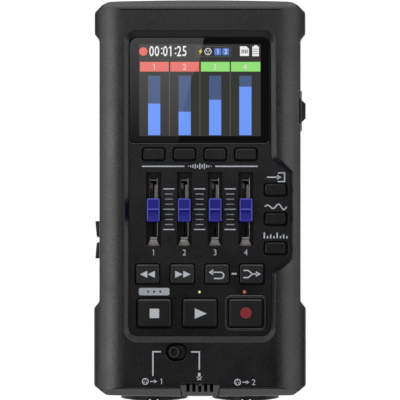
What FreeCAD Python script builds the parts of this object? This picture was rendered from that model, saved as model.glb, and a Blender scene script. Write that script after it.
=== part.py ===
import FreeCAD, Part
import math
import os

V = FreeCAD.Vector

# Handheld four-track recorder, lying on its back.
# X across, Y towards the display end, Z out of the control face, z = 0 under the feet.
# ---------------------------------------------------------------- driving dimensions (mm)
HALF_W = 42.65           # half width over the corner guards of the input end
HALF_W_TOP = 42.46       # half width over the corner guards of the display end
HALF_WAIST = 40.5        # half width of the waist
TOP_Y = 80.6             # display end
BOT_Y = -79.2            # input end, without the jack collars
Z_BACK = 1.0             # outer face of the back
Z_SPLIT = 20.0           # parting line of the two shells
Z_FACE = 41.0            # flat middle of the front
Z_PANEL = 38.6           # floor of the recess, top of the control panel
Z_BEVEL = 39.55          # foot of the bevel round the recess
WALL = 2.2
ROOF = 2.4
RAIL_X = 30.5            # where the shoulder begins to fall
RAIL_R = 26.0
PANEL_T = 1.6
BOARD_Z0, BOARD_Z1 = 28.4, 30.0

FADER_X = [-18.67, -6.30, 6.07, 18.44]
SLOT_Y = (-18.5, 11.2)
SLOT_W = 6.0
CAP_W, CAP_L = 5.1, 9.5
CAP_Y = -4.05
FADER_UP, FADER_DOWN = 10.4, 9.6

KEY_TRAVEL = 0.8
TRACK_Y = 18.38
FUNC_X, FUNC_Y = 30.4, [4.13, -7.58, -19.34]
SMALL_X, SMALL_Y = [-21.15, -7.14, 6.82, 20.83], -29.78
BIG_X, BIG_Y = [-18.4, -0.08, 18.38], -45.5
LED_XY = [(-0.2, -37.0), (17.9, -37.0)]

LENS = (-28.4, 28.25, 23.05, 65.45)
ACTIVE = (-24.5, 24.36, 25.7, 62.7)

SWITCH_C = (-9.4, -61.2)     # middle of the input selector's dish
KNOB_XY = (-10.4, -61.1)
KNOB_TRAVEL = 2.0

JACK_X, JACK_Z = 18.7, 20.3
JACK_FLANGE_R = 13.65
JACK_FRONT = -80.95
JACK_BORE_R = 3.25
MINI_Y, MINI_Z, MINI_R = [22.0, 8.0], 25.7, 1.8
USB_Y, USB_Z = 0.0, 26.5
CARD_Y, CARD_Z = -20.0, 27.3
TRIPOD_Y, TRIPOD_R, TRIPOD_L = 45.0, 2.6, 6.5

VOL_Y = [(-15.1, -8.55), (-23.65, -17.1)]
VOL_Z = (27.4, 32.6)
POWER_Y = (27.75, 44.0)
POWER_KNOB = (31.6, 40.1)
POWER_Z = 31.3

SCREWS = [(-35.4, 70.0), (35.4, 70.0), (-35.4, -38.0), (35.4, -38.0), (-35.8, -70.5), (35.8, -70.5)]

HINGE_Y, HINGE_Z, HINGE_R = -50.2, 3.6, 2.6
DOOR_Y1, DOOR_X = 12.7, 30.6
CELL_R, CELL_L, CELL_Y0 = 7.1, 50.5, -43.5
FLAP_HX, FLAP_HZ, FLAP_R = 39.55, 24.4, 0.85
FLAP_Y = (-27.9, -12.1)


# ---------------------------------------------------------------- helpers
def box(x0, x1, y0, y1, z0, z1):
    return Part.makeBox(x1 - x0, y1 - y0, z1 - z0, V(x0, y0, z0))


def cyl(p, r, h, d=(0, 0, 1)):
    return Part.makeCylinder(r, h, V(*p), V(*d))


def fuse(*shapes):
    s = shapes[0]
    rest = [x for x in shapes[1:]]
    if rest:
        s = s.fuse(rest)
    return s.removeSplitter()


def rwire(pts, z):
    """Closed wire through (x, y, radius, mid) corners. A mid point makes the edge after a corner an arc."""
    n = len(pts)
    corners = []
    for i in range(n):
        x, y, r = pts[i][:3]
        p = V(x, y, z)
        a = V(pts[i - 1][0], pts[i - 1][1], z)
        b = V(pts[(i + 1) % n][0], pts[(i + 1) % n][1], z)
        if r <= 0:
            corners.append((p, None, p))
            continue
        u = (a - p).normalize()
        w = (b - p).normalize()
        half = u.getAngle(w) / 2
        t = r / math.tan(half)
        bis = (u + w).normalize()
        c = p + bis * (r / math.sin(half))
        corners.append((p + u * t, c - bis * r, p + w * t))
    edges = []
    for i in range(n):
        s, m, e = corners[i]
        if m is not None:
            edges.append(Part.Arc(s, m, e).toShape())
        ns = corners[(i + 1) % n][0]
        if len(pts[i]) > 3:
            edges.append(Part.Arc(e, V(pts[i][3][0], pts[i][3][1], z), ns).toShape())
        elif (ns - e).Length > 1e-6:
            edges.append(Part.LineSegment(e, ns).toShape())
    return Part.Wire(edges)


def prism(pts, z0, z1):
    return Part.Face(rwire(pts, z0)).extrude(V(0, 0, z1 - z0))


def rrect(cx, cy, w, h, r):
    return [(cx - w / 2, cy - h / 2, r), (cx + w / 2, cy - h / 2, r), (cx + w / 2, cy + h / 2, r), (cx - w / 2, cy + h / 2, r)]


def rbox(cx, cy, w, h, r, z0, z1):
    return prism(rrect(cx, cy, w, h, r), z0, z1)


def top_edges(shape, z, tol=1e-3):
    return [e for e in shape.Edges if all(abs(v.Point.z - z) < tol for v in e.Vertexes) and abs(e.BoundBox.ZMax - z) < tol]


def profile_x(points, x0, x1):
    """Polygon in the YZ plane, pushed along X."""
    w = Part.makePolygon([V(x0, y, z) for y, z in points] + [V(x0, points[0][0], points[0][1])])
    return Part.Face(w).extrude(V(x1 - x0, 0, 0))


def profile_y(points, y0, y1):
    """Polygon in the XZ plane, pushed along Y."""
    w = Part.makePolygon([V(x, y0, z) for x, z in points] + [V(points[0][0], y0, points[0][1])])
    return Part.Face(w).extrude(V(0, y1 - y0, 0))


def stadium_x(cy, cz, length, height, x0, x1):
    """Stadium in the YZ plane, pushed along X."""
    r = height / 2
    a = length / 2 - r
    s = box(x0, x1, cy - a, cy + a, cz - r, cz + r)
    return fuse(s, cyl((x0, cy - a, cz), r, x1 - x0, (1, 0, 0)), cyl((x0, cy + a, cz), r, x1 - x0, (1, 0, 0)))


parts = {}


def add(name, shape):
    if isinstance(shape, (list, tuple)):
        shape = Part.makeCompound(list(shape))
    parts[name] = shape


# ---------------------------------------------------------------- outline of the case
def tangent_arc(x, y, a, top):
    """Height, at half width a, of a run from the corner (x, y) that goes over without a kink into an arc through (0, top)."""
    t = math.atan(abs(top - y) / (x - a / 2))
    for _ in range(8):
        t -= ((x - a) * math.tan(t) + a * math.tan(t / 2) - abs(top - y)) / (x - a / 2)
    return y + math.copysign((x - a) * math.tan(t), top)


def outline():
    w, t, b = HALF_WAIST, HALF_W_TOP, HALF_W
    left = [
        (-37.9, 79.95, 7.0), (-t, 75.45, 1.7), (-t, 66.65, 1.8), (-w, 64.4, 1.8),
        (-w, -40.75, 1.8), (-b, -43.45, 1.8), (-b, -74.75, 1.5), (-37.6, -78.7, 2.2),
    ]
    right = [(-x, y, r) for x, y, r in left[::-1]]
    ya = tangent_arc(37.9, 79.95, 33.0, TOP_Y)
    yb = tangent_arc(37.6, -78.7, 31.8, BOT_Y)
    return left + [(-31.8, yb, 0, (0, BOT_Y)), (31.8, yb, 0)] + right + [(33.0, ya, 0, (0, TOP_Y)), (-33.0, ya, 0)]


def case_prism(z0, z1, inset=0.0):
    w = rwire(outline(), z0)
    if inset:
        w = w.makeOffset2D(-inset)
    return Part.Face(w).extrude(V(0, 0, z1 - z0))


def rail_drop(x):
    d = abs(x) - RAIL_X
    return 0.0 if d <= 0 else RAIL_R - math.sqrt(RAIL_R ** 2 - d ** 2)


def face_profile(dz=0.0, reach=44.0):
    """Section across the front: flat middle, convex shoulders. It runs the whole length."""
    y0 = -95
    zt = Z_FACE + dz
    pa = V(-reach, y0, zt - rail_drop(reach))
    pm = V(-(RAIL_X + reach) / 2, y0, zt - rail_drop((RAIL_X + reach) / 2))
    pb = V(-RAIL_X, y0, zt)
    mirror = lambda p: V(-p.x, p.y, p.z)
    edges = [
        Part.LineSegment(V(-reach, y0, -5), pa).toShape(),
        Part.Arc(pa, pm, pb).toShape(),
        Part.LineSegment(pb, mirror(pb)).toShape(),
        Part.Arc(mirror(pb), mirror(pm), mirror(pa)).toShape(),
        Part.LineSegment(mirror(pa), V(reach, y0, -5)).toShape(),
        Part.LineSegment(V(reach, y0, -5), V(-reach, y0, -5)).toShape(),
    ]
    return Part.Face(Part.Wire(edges)).extrude(V(0, 190, 0))


CH_TOP = (77.1, 4.7 / 3.3)      # where the end chamfer leaves the face, and how steeply it falls
CH_BOT = (-75.4, 1.12)


def end_profile(dz=0.0):
    """Section along the length: face with a falling chamfer at each end."""
    zt = Z_FACE + dz
    y1, s1 = CH_TOP
    y2, s2 = CH_BOT
    w = rwire([(-90, -5, 0), (90, -5, 0), (90, zt - (90 - y1) * s1, 0), (y1, zt, 2.2), (y2, zt, 1.6), (-90, zt - (-90 - y2) * -s2, 0)], 0)
    f = Part.Face(w)
    f.rotate(V(0, 0, 0), V(1, 1, 1), 120)   # x -> y, y -> z, z -> x
    f.translate(V(-60, 0, 0))
    return f.extrude(V(120, 0, 0))


# ---------------------------------------------------------------- recess of the control panel
INNER = [(-28.8, 65.65, 3.7), (-28.8, -54.8, 3.7), (28.6, -54.8, 3.7), (28.9, -29.25, 1.2), (36.65, -23.4, 1.2),
         (36.65, 11.0, 1.2), (28.75, 16.7, 1.2), (28.6, 65.65, 3.7)]
OUTER = [(-30.3, 68.1, 4.8), (-30.3, -56.9, 5.3), (29.9, -56.9, 5.3), (30.15, -29.7, 1.5), (38.87, -23.65, 1.5),
         (38.87, 10.9, 1.5), (30.5, 17.5, 1.5), (30.2, 68.1, 4.8)]


def shifted(k):
    """The recess's corner list, k times as far out as the lip is from the foot of its bevel."""
    return [(a[0] + (b[0] - a[0]) * k, a[1] + (b[1] - a[1]) * k, a[2] + (b[2] - a[2]) * k) for a, b in zip(INNER, OUTER)]


def inner_wire(z, off=0.0):
    w = rwire(INNER, z)
    return w.makeOffset2D(off) if off else w


def inner_prism(z0, z1, off=0.0):
    return Part.Face(inner_wire(z0, off)).extrude(V(0, 0, z1 - z0))


def front_shell():
    body = case_prism(Z_SPLIT, 46).common(face_profile()).common(end_profile())
    # soften the rim where the faces meet the upright walls
    rim = []
    for e in body.Edges:
        bb = e.BoundBox
        if bb.ZMin < 30 or bb.ZMax > Z_FACE - 0.02 and bb.ZMin > Z_FACE - 0.02:
            continue
        faces = body.ancestorsOfType(e, Part.Face)
        upright = [abs(f.normalAt(*[(f.ParameterRange[i] + f.ParameterRange[i + 1]) / 2 for i in (0, 2)]).z) < 0.02 for f in faces]
        if len(faces) == 2 and upright[0] != upright[1]:
            rim.append(e)
    for r, least in ((1.1, 0), (0.9, 0), (0.7, 0), (1.1, 5), (0.7, 5)):
        try:
            soft = body.makeFillet(r, [e for e in rim if e.Length > least])
            if soft.isValid() and soft.Volume > 0.9 * body.Volume:
                body = soft
                print("rim fillet", r, "edges over", least)
                break
        except Exception:
            continue

    hollow = case_prism(Z_SPLIT - 1, 46, WALL).common(face_profile(-ROOF)).common(box(-60, 60, BOT_Y + WALL + 0.4, TOP_Y - WALL - 0.8, 0, 60))
    body = body.cut(hollow)

    # bevel round the recess, then the upright window for lens and panel
    k = 1.9 / (Z_FACE - Z_BEVEL)
    cutter = Part.makeLoft([rwire(INNER, Z_BEVEL), rwire(shifted(k), Z_BEVEL + 1.9)], True, True)
    window = inner_prism(30, Z_BEVEL + 0.01)
    body = body.cut(cutter).cut(window)
    # a finger scallop beside each function key
    for y in FUNC_Y:
        body = body.cut(cyl((33.96, y, Z_PANEL), 3.4, 5))
    # skirt and ledge that carry the lens and the panel
    skirt = Part.Face(inner_wire(35.2, 1.6)).extrude(V(0, 0, 3.5)).cut(inner_prism(35, 39))
    ledge = Part.Face(inner_wire(35.2, 1.6)).extrude(V(0, 0, 1.8)).cut(inner_prism(35, 39, -0.8))
    bar = box(-29.5, 29.4, 21.95, 24.5, 35.2, 37.0)
    inside = case_prism(Z_SPLIT, 46, WALL - 0.2).common(face_profile(-0.5))
    body = body.fuse([skirt.common(inside), ledge.common(inside), bar])

    # screw bosses
    for x, y in SCREWS:
        z0 = BOARD_Z1 if y > -60 else Z_SPLIT + 0.2
        b = cyl((x, y, z0), 2.8, 39.2 - z0).common(inside)
        body = body.fuse(b).cut(cyl((x, y, z0 - 1), 1.3, 9))

    # dish and slot of the input selector, with a thicker roof under it
    cx, cy = SWITCH_C
    body = body.fuse(box(cx - 7.0, cx + 7.0, cy - 5.6, cy + 4.6, 37.4, 39.5))
    lo = rwire(rrect(cx, cy, 7.6, 5.7, 2.8), 39.0)
    hi = rwire(rrect(cx, cy, 9.9, 8.6, 4.25), 41.3)
    body = body.cut(Part.makeLoft([lo, hi], True, True))
    body = body.cut(rbox(KNOB_XY[0] + KNOB_TRAVEL / 2, KNOB_XY[1], KNOB_TRAVEL + 1.7, 1.8, 0.85, 36, 40))

    # seat of the microphone grille
    body = body.cut(prism([(-8.1, -72.8, 0), (-8.1, -74.5, 0), (-7.25, -82, 0), (7.25, -82, 0), (8.1, -74.5, 0), (8.1, -72.8, 0)], 33.3, 45))
    # round holes of the two input jacks
    for s in (-1, 1):
        body = body.cut(cyl((s * JACK_X, -70, JACK_Z), 12.6, 14, (0, -1, 0)))

    # left side: volume keys, phone and line jacks
    for y0, y1 in VOL_Y:
        body = body.cut(box(-45, -37, y0 - 0.15, y1 + 0.15, VOL_Z[0] - 0.15, VOL_Z[1] + 0.15))
    for y in MINI_Y:
        body = body.cut(cyl((-37, y, MINI_Z), 3.1, 6, (-1, 0, 0)))
        body = body.cut(Part.makeCone(3.1, 4.0, 0.9, V(-39.5, y, MINI_Z), V(-1, 0, 0)))
    # right side: power switch bezel, data port, card flap
    py0, py1 = POWER_Y
    body = body.cut(box(37, 45, py0 + 0.5, py1 - 0.5, POWER_Z - 4.2, POWER_Z + 4.2))
    body = body.cut(box(39.75, 45, POWER_KNOB[0] - 0.6, POWER_KNOB[1] + 0.6, POWER_Z - 5, 42).cut(box(39, 45, 20, 50, 20, POWER_Z + 4.6)))
    body = body.cut(stadium_x(USB_Y, USB_Z, 9.3, 3.6, 36, 42))
    body = body.fuse(box(36.6, 39.0, -30.0, -10.0, 22.0, 31.6))
    fy0, fy1 = FLAP_Y
    pocket = box(39.15, 42, fy0 - 0.2, fy1 + 0.2, FLAP_HZ, 30.6)
    pocket = pocket.fuse([cyl((FLAP_HX, fy0 - 0.2, FLAP_HZ), FLAP_R + 0.15, fy1 - fy0 + 0.4, (0, 1, 0)),
                          box(FLAP_HX, 42, fy0 - 0.2, fy1 + 0.2, FLAP_HZ - FLAP_R - 0.15, FLAP_HZ)])
    body = body.cut(pocket)
    body = body.cut(cyl((FLAP_HX, fy0 - 1.5, FLAP_HZ), 0.55, fy1 - fy0 + 3.0, (0, 1, 0)))
    body = body.cut(box(35, 42, CARD_Y - 6.3, CARD_Y + 6.3, CARD_Z - 0.8, CARD_Z + 0.8))
    body = body.cut(box(39.7, 42, CARD_Y - 2.2, CARD_Y + 2.2, 30.3, 31.3))
    # fine groove along the parting line
    groove = case_prism(Z_SPLIT - 0.5, Z_SPLIT + 0.3).cut(case_prism(Z_SPLIT - 1, Z_SPLIT + 1, 0.3))
    body = body.cut(groove).removeSplitter()
    # rounded upper edge of the recess, all the way round
    rim = []
    for e in body.Edges:
        bb = e.BoundBox
        if bb.ZMin > 39.85 and bb.ZMax < 41.05 and bb.XMin > -31.5 and bb.XMax < 39.6 and bb.YMax < 69 and bb.YMax > -57.0:
            if bb.ZMin > 40.95 or bb.ZLength < 1.2:
                rim.append(e)
    for r in (0.5, 0.4, 0.3):
        try:
            soft = body.makeFillet(r, rim)
            if soft.isValid() and len(soft.Solids) == 1 and soft.Volume > 0.99 * body.Volume:
                print("recess fillet", r, len(rim))
                return soft.Solids[0]
        except Exception:
            continue
    return body


def back_shell():
    # rounded lower edges: a section across and a section along
    wx = rwire([(-HALF_W, 60, 0), (-HALF_W, Z_BACK, 3.2), (HALF_W, Z_BACK, 3.2), (HALF_W, 60, 0)], 0)
    fx = Part.Face(wx)
    fx.rotate(V(0, 0, 0), V(1, 0, 0), 90)
    fx.translate(V(0, 95, 0))
    sx = fx.extrude(V(0, -190, 0))
    wy = rwire([(BOT_Y - 0.1, 60, 0), (BOT_Y - 0.1, Z_BACK, 3.2), (TOP_Y + 0.1, Z_BACK, 3.2), (TOP_Y + 0.1, 60, 0)], 0)
    fy = Part.Face(wy)
    fy.rotate(V(0, 0, 0), V(1, 1, 1), 120)
    fy.translate(V(-60, 0, 0))
    sy = fy.extrude(V(120, 0, 0))
    body = case_prism(Z_BACK, Z_SPLIT)
    for r in (1.5, 1.2, 0.8):
        try:
            soft = body.makeFillet(r, top_edges(body, Z_BACK))
            if soft.isValid() and soft.Volume > 0.9 * body.Volume:
                body = soft
                print("back rim fillet", r)
                break
        except Exception:
            continue
    body = body.common(sx).common(sy)
    hollow = case_prism(Z_BACK + WALL, Z_SPLIT + 1, WALL).common(box(-37.6, 37.6, -76.2, 77.6, 0, 4.6).fuse(box(-60, 60, -90, 90, 4.6, 40)))
    body = body.cut(hollow)
    # battery bay
    bx, y0, y1 = 29.4, CELL_Y0 - 2.8, CELL_Y0 + CELL_L + 2.8
    bay = box(-bx - 1.2, bx + 1.2, y0 - 1.0, y1 + 1.0, Z_BACK, 19.3)
    knuckle = box(-31.6, 31.6, HINGE_Y - 4.0, y0, Z_BACK, 7.4)
    insert_boss = cyl((0, TRIPOD_Y, Z_BACK), 7.6, 8.6)
    add_on = [bay, knuckle, insert_boss]
    for x, y in SCREWS:
        top = BOARD_Z0 if y > -60 else Z_SPLIT
        post = cyl((x, y, Z_BACK + 1), 2.8, top - Z_BACK - 1)
        add_on.append(post.common(case_prism(0, 40, WALL - 0.1)))
    body = body.fuse(add_on)
    body = body.cut(box(-bx, bx, y0, y1, 0, 18.1))
    # low ribs between the cells, curved to their size
    ribs = [box(x - 0.5, x + 0.5, y0, y1, 16.4, 18.2) for x in (-14.5, 0, 14.5)]
    body = body.fuse(ribs)
    # pocket of the door and cavity of its hinge barrel
    body = body.cut(box(-DOOR_X - 0.2, DOOR_X + 0.2, HINGE_Y + 3.05, DOOR_Y1 + 0.2, 0, Z_BACK + 1.95))
    body = body.cut(box(-28.2, 28.2, HINGE_Y - 0.1, HINGE_Y + 3.2, 0, Z_BACK + 1.95))
    body = body.cut(cyl((-28.2, HINGE_Y, HINGE_Z), HINGE_R + 0.2, 56.4, (1, 0, 0)))
    body = body.cut(box(-28.2, 28.2, HINGE_Y - HINGE_R - 0.3, HINGE_Y, 0, HINGE_Z))
    body = body.cut(cyl((-30.6, HINGE_Y, HINGE_Z), 1.25, 61.2, (1, 0, 0)))
    body = body.cut(cyl((0, DOOR_Y1 + 1.2, 0), 6.0, Z_BACK + 0.9).common(box(-8, 8, DOOR_Y1, 30, 0, 3)))
    # screw holes with their counterbores
    for x, y in SCREWS:
        body = body.cut(cyl((x, y, 0), 1.4, 30)).cut(cyl((x, y, 0), 2.5, 3.9))
    # thread insert and feet
    body = body.cut(cyl((0, TRIPOD_Y, 0), 5.5, 8.5))
    for x in (-31, 31):
        for y in (64.5, -63.5):
            body = body.cut(rbox(x, y, 12.3, 8.3, 2.1, 0, Z_BACK + 0.6))
    # jack holes
    for s in (-1, 1):
        body = body.cut(cyl((s * JACK_X, -70, JACK_Z), 12.6, 14, (0, -1, 0)))
    # lip inside the parting line
    lip = case_prism(Z_SPLIT - 2, Z_SPLIT + 1.4, WALL).cut(case_prism(Z_SPLIT - 3, Z_SPLIT + 3, WALL + 0.9))
    keep = Part.makeCompound([box(-60, -33, -34, 64, 15, 25), box(33, 60, -34, 64, 15, 25)])
    keep2 = box(-60, 60, -90, 90, 15, Z_SPLIT + 1.4)
    lip = lip.common(keep).common(keep2)
    body = body.fuse(lip)
    return body.removeSplitter()


def key(cx, cy, w, h, r, top, bevel, open_w, open_h, plunger):
    """A key cap that passes the panel, with a flange under it and a plunger."""
    cap = rbox(cx, cy, w, h, r, 35.6, top)
    cap = cap.makeChamfer(bevel, top_edges(cap, top))
    flange = rbox(cx, cy, open_w + 0.8, open_h + 0.8, r + 0.2, 35.6, 36.6)
    stem = cyl((cx, cy, 32.2), plunger, 3.6)
    return fuse(cap, flange, stem)


def fader_cap(cx):
    z0, z1 = 37.5, 44.7
    c = rbox(cx, CAP_Y, CAP_W, CAP_L, 0.8, z0, z1)
    c = c.makeChamfer(0.5, top_edges(c, z1))
    # two finger hollows that leave a ridge across, a little above the middle
    ridge_y = CAP_Y + 0.35
    hw, end = 2.03, 4.22
    up = profile_x([(ridge_y + 0.26, z1 + 1), (ridge_y + 0.26, z1 - 0.35), (ridge_y + 0.7, z1 - 0.6), (CAP_Y + end - 0.25, z1 - 0.3), (CAP_Y + end, z1 + 0.1), (CAP_Y + end, z1 + 1)], cx - hw, cx + hw)
    dn = profile_x([(ridge_y - 0.26, z1 + 1), (ridge_y - 0.26, z1 - 0.2), (ridge_y - 1.3, z1 - 1.0), (ridge_y - 1.95, z1 - 0.8), (CAP_Y - end + 0.25, z1 - 0.25), (CAP_Y - end, z1 + 0.1), (CAP_Y - end, z1 + 1)], cx - hw, cx + hw)
    c = c.cut(up).cut(dn)
    c = c.cut(box(cx - 0.28, cx + 0.28, CAP_Y - 0.65, CAP_Y + 0.65, z0 - 1, 41.7))
    return c


def fader_lever(cx):
    carrier = box(cx - 2.1, cx + 2.1, CAP_Y - 7.0, CAP_Y + 7.4, 33.2, 34.15)
    shoe = box(cx - 1.5, cx + 1.5, CAP_Y - 2.6, CAP_Y + 2.6, 32.0, 33.3)
    tab = box(cx - 0.23, cx + 0.23, CAP_Y - 0.6, CAP_Y + 0.6, 34.1, 41.5)
    return fuse(carrier, shoe, tab)


def fader_housing(cx):
    """Moulded box with a bezel over the metal cover: a window for the slit and a pocket for the cover's ear."""
    h = box(cx - 3.5, cx + 3.5, -22.8, 15.7, BOARD_Z1, 34.5)
    h = h.cut(box(cx - 2.95, cx + 2.95, -22.3, 15.2, 30.9, 34.5))
    h = h.fuse(box(cx - 3.5, cx + 3.5, -22.8, 13.6, 34.5, 36.2))
    h = h.fuse(box(cx - 3.5, cx + 3.5, 13.5, 14.9, 34.5, 34.9))
    h = h.cut(box(cx - 2.8, cx + 2.8, -15.95, 9.5, 34.4, 34.9))
    h = h.cut(box(cx - 1.75, cx + 1.75, -15.95, 9.0, 34.8, 37))
    h = h.cut(box(cx - 2.85, cx + 2.6, -19.4, -15.9, 34.8, 37))
    return h.removeSplitter()


def fader_rail(cx):
    """Stamped metal cover with its slit, low side flanges, an end stop and a bent ear; resistor strips lie under it."""
    plate = box(cx - 2.8, cx + 2.8, -15.95, 9.5, 34.5, 34.9)
    slit = box(cx - 0.33, cx + 0.33, -14.85, 7.15, 34, 36)
    gap = box(cx - 1.15, cx + 1.05, 7.1, 7.65, 34, 36)
    right = box(cx + 1.28, cx + 1.68, -14.9, 9.0, 34.8, 35.55)
    left = box(cx - 1.72, cx - 1.45, -14.9, 8.9, 34.8, 35.1)
    cross = box(cx - 1.4, cx + 1.28, 7.65, 8.4, 34.8, 35.25)
    stop = box(cx - 1.55, cx + 1.45, -15.75, -14.9, 34.8, 35.6)
    web = box(cx - 0.9, cx + 1.2, -16.4, -15.8, 34.5, 35.1)
    ear = profile_x([(-16.1, 34.82), (-16.1, 35.15), (-16.55, 35.6), (-16.85, 35.6), (-18.6, 34.95), (-18.6, 34.82)], cx - 3, cx + 3)
    plan = prism([(cx - 1.62, -16.05, 0), (cx + 1.4, -16.05, 0), (cx + 1.45, -16.6, 0), (cx + 2.45, -18.7, 0), (cx - 2.7, -18.7, 0), (cx - 1.7, -16.6, 0)], 34, 36.5)
    strips = box(cx - 2.4, cx + 2.4, -19.5, 12.5, 30.9, 31.3)
    strips = strips.cut(box(cx - 0.4, cx + 0.4, -19.0, 12.0, 31.1, 32))
    cover = fuse(plate.cut(slit).cut(gap), right, left, cross, stop, web.cut(box(cx - 3, cx + 3, -17, -15.95, 34.4, 34.8)), ear.common(plan))
    return Part.makeCompound([cover, strips])


def control_panel():
    p = inner_prism(Z_PANEL - PANEL_T, Z_PANEL, -0.12)
    p = p.common(box(-60, 60, -70, 22.75, 0, 60))
    # bevel along the edge that faces the lens
    p = p.cut(profile_x([(22.45, Z_PANEL + 0.01), (22.8, Z_PANEL - 0.34), (22.8, Z_PANEL + 0.01)], -40, 40))
    # raised rim around the record key
    rim = rbox(18.35, -45.35, 17.3, 14.4, 2.6, Z_PANEL - 0.5, Z_PANEL + 0.75)
    rim = rim.makeFillet(0.5, top_edges(rim, Z_PANEL + 0.75))
    p = p.fuse(rim)
    cuts = []
    for x in FADER_X:
        cuts.append(rbox(x, TRACK_Y, 9.3, 5.4, 1.35, 30, 45))
        cuts.append(rbox(x, sum(SLOT_Y) / 2, SLOT_W, SLOT_Y[1] - SLOT_Y[0], 0.35, 30, 45))
    for y in FUNC_Y:
        cuts.append(rbox(FUNC_X, y, 9.3, 5.4, 1.35, 30, 45))
    for x in SMALL_X:
        cuts.append(rbox(x, SMALL_Y, 10.2, 8.5, 1.2, 30, 45))
    for x in BIG_X:
        cuts.append(rbox(x, BIG_Y, 14.4, 12.2, 1.5, 30, 45))
    for x, y in LED_XY:
        cuts.append(cyl((x, y, 30), 0.62, 15))
    for c in cuts:
        p = p.cut(c)
    return p.removeSplitter()


# ---------------------------------------------------------------- case
add("front_shell", front_shell())
add("back_shell", back_shell())
add("control_panel", control_panel())

lx0, lx1, ly0, ly1 = LENS
lens = prism([(lx0, ly0, 1.0), (lx1, ly0, 1.0), (lx1, ly1, 3.3), (lx0, ly1, 3.3)], 37.1, 38.4)
lens = lens.makeFillet(0.2, top_edges(lens, 38.4))
add("display_lens", lens)

module = box(-26.9, 26.9, 25.0, 64.0, 34.0, 36.3)
module = fuse(module, box(-25.3, 25.2, 25.3, 63.3, 36.2, 36.8))
add("lcd_module", module)
add("lcd_support", rbox(0, 44.6, 50, 36, 3, BOARD_Z1, 34.0))

# ---------------------------------------------------------------- boards
board = case_prism(BOARD_Z0, BOARD_Z1, WALL + 0.6).common(box(-60, 60, -52.5, 74.0, 20, 40))
board = board.cut(box(-45, -35.9, -25.2, -6.8, 20, 40)).cut(box(36.2, 45, 27.2, 43.7, 20, 40)).cut(box(36.4, 45, -30.3, -9.7, 20, 40))
for x, y in SCREWS:
    board = board.cut(cyl((x, y, 20), 1.5, 20))
add("main_board", board)
jack_board = box(-31.4, 31.4, -76.0, -54.9, 5.0, 6.6)
for s in (-1, 1):
    for dx, dy in ((-9, -60), (-4.5, -58), (0, -60), (4.5, -58), (9, -60)):
        jack_board = jack_board.cut(cyl((s * JACK_X + dx, dy, 4), 0.55, 4))
add("jack_board", jack_board)
add("switch_board", rbox(-9.0, -61.4, 24.0, 9.0, 1.0, 33.3, 34.3))

# ---------------------------------------------------------------- faders
add("fader_housings", [fader_housing(x) for x in FADER_X])
add("fader_rails", [fader_rail(x) for x in FADER_X])
for i, x in enumerate(FADER_X, 1):
    add("fader_lever_%d" % i, fader_lever(x))
    add("fader_cap_%d" % i, fader_cap(x))

# ---------------------------------------------------------------- keys
for i, x in enumerate(FADER_X, 1):
    add("track_button_%d" % i, key(x, TRACK_Y, 8.3, 4.3, 0.9, 39.35, 0.28, 9.3, 5.4, 1.2))
for name, y in zip(("input_button", "effect_button", "rhythm_button"), FUNC_Y):
    add(name, key(FUNC_X, y, 8.3, 4.3, 0.9, 39.35, 0.28, 9.3, 5.4, 1.2))
for name, x in zip(("rewind_button", "forward_button", "undo_button", "bounce_button"), SMALL_X):
    add(name, key(x, SMALL_Y, 9.45, 7.6, 0.9, 39.6, 0.4, 10.2, 8.5, 1.6))
for name, x in zip(("stop_button", "play_button", "record_button"), BIG_X):
    add(name, key(x, BIG_Y, 13.6, 11.3, 1.15, 39.9, 0.6, 14.4, 12.2, 2.0))

key_xy = [(x, TRACK_Y) for x in FADER_X] + [(FUNC_X, y) for y in FUNC_Y] + [(x, SMALL_Y) for x in SMALL_X] + [(x, BIG_Y) for x in BIG_X]
tacts = []
for x, y in key_xy:
    t = box(x - 2.6, x + 2.6, y - 2.4, y + 2.4, BOARD_Z1, 30.9)
    tacts.append(fuse(t, cyl((x, y, 30.8), 1.3, 0.45)))
for y0, y1 in VOL_Y:
    ym = (y0 + y1) / 2
    tacts.append(fuse(box(-35.6, -32.4, ym - 2.6, ym + 2.6, BOARD_Z1, 32.8), cyl((-35.5, ym, 31.2), 0.9, 0.6, (-1, 0, 0))))
add("key_switches", tacts)

add("status_lights", [fuse(cyl((x, y, 31.0), 0.55, 7.75), box(x - 1.0, x + 1.0, y - 0.8, y + 0.8, BOARD_Z1, 31.2)) for x, y in LED_XY])

# ---------------------------------------------------------------- input selector
kx, ky = KNOB_XY
knob = cyl((kx, ky, 39.25), 2.15, 1.55)
knob = knob.makeChamfer(0.3, top_edges(knob, 40.8))
knob = knob.cut(Part.makeSphere(6.0, V(kx, ky, 46.45)))
# a thin dust disc on the dish's floor hides the slot over the whole travel
knob = fuse(knob, cyl((kx, ky, 36.6), 0.75, 2.8), cyl((kx, ky, 39.06), 2.7, 0.24))
add("input_selector", knob)
sw = box(-14.4, -4.4, -63.6, -58.6, 34.3, 36.0)
add("selector_switch", sw)

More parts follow.
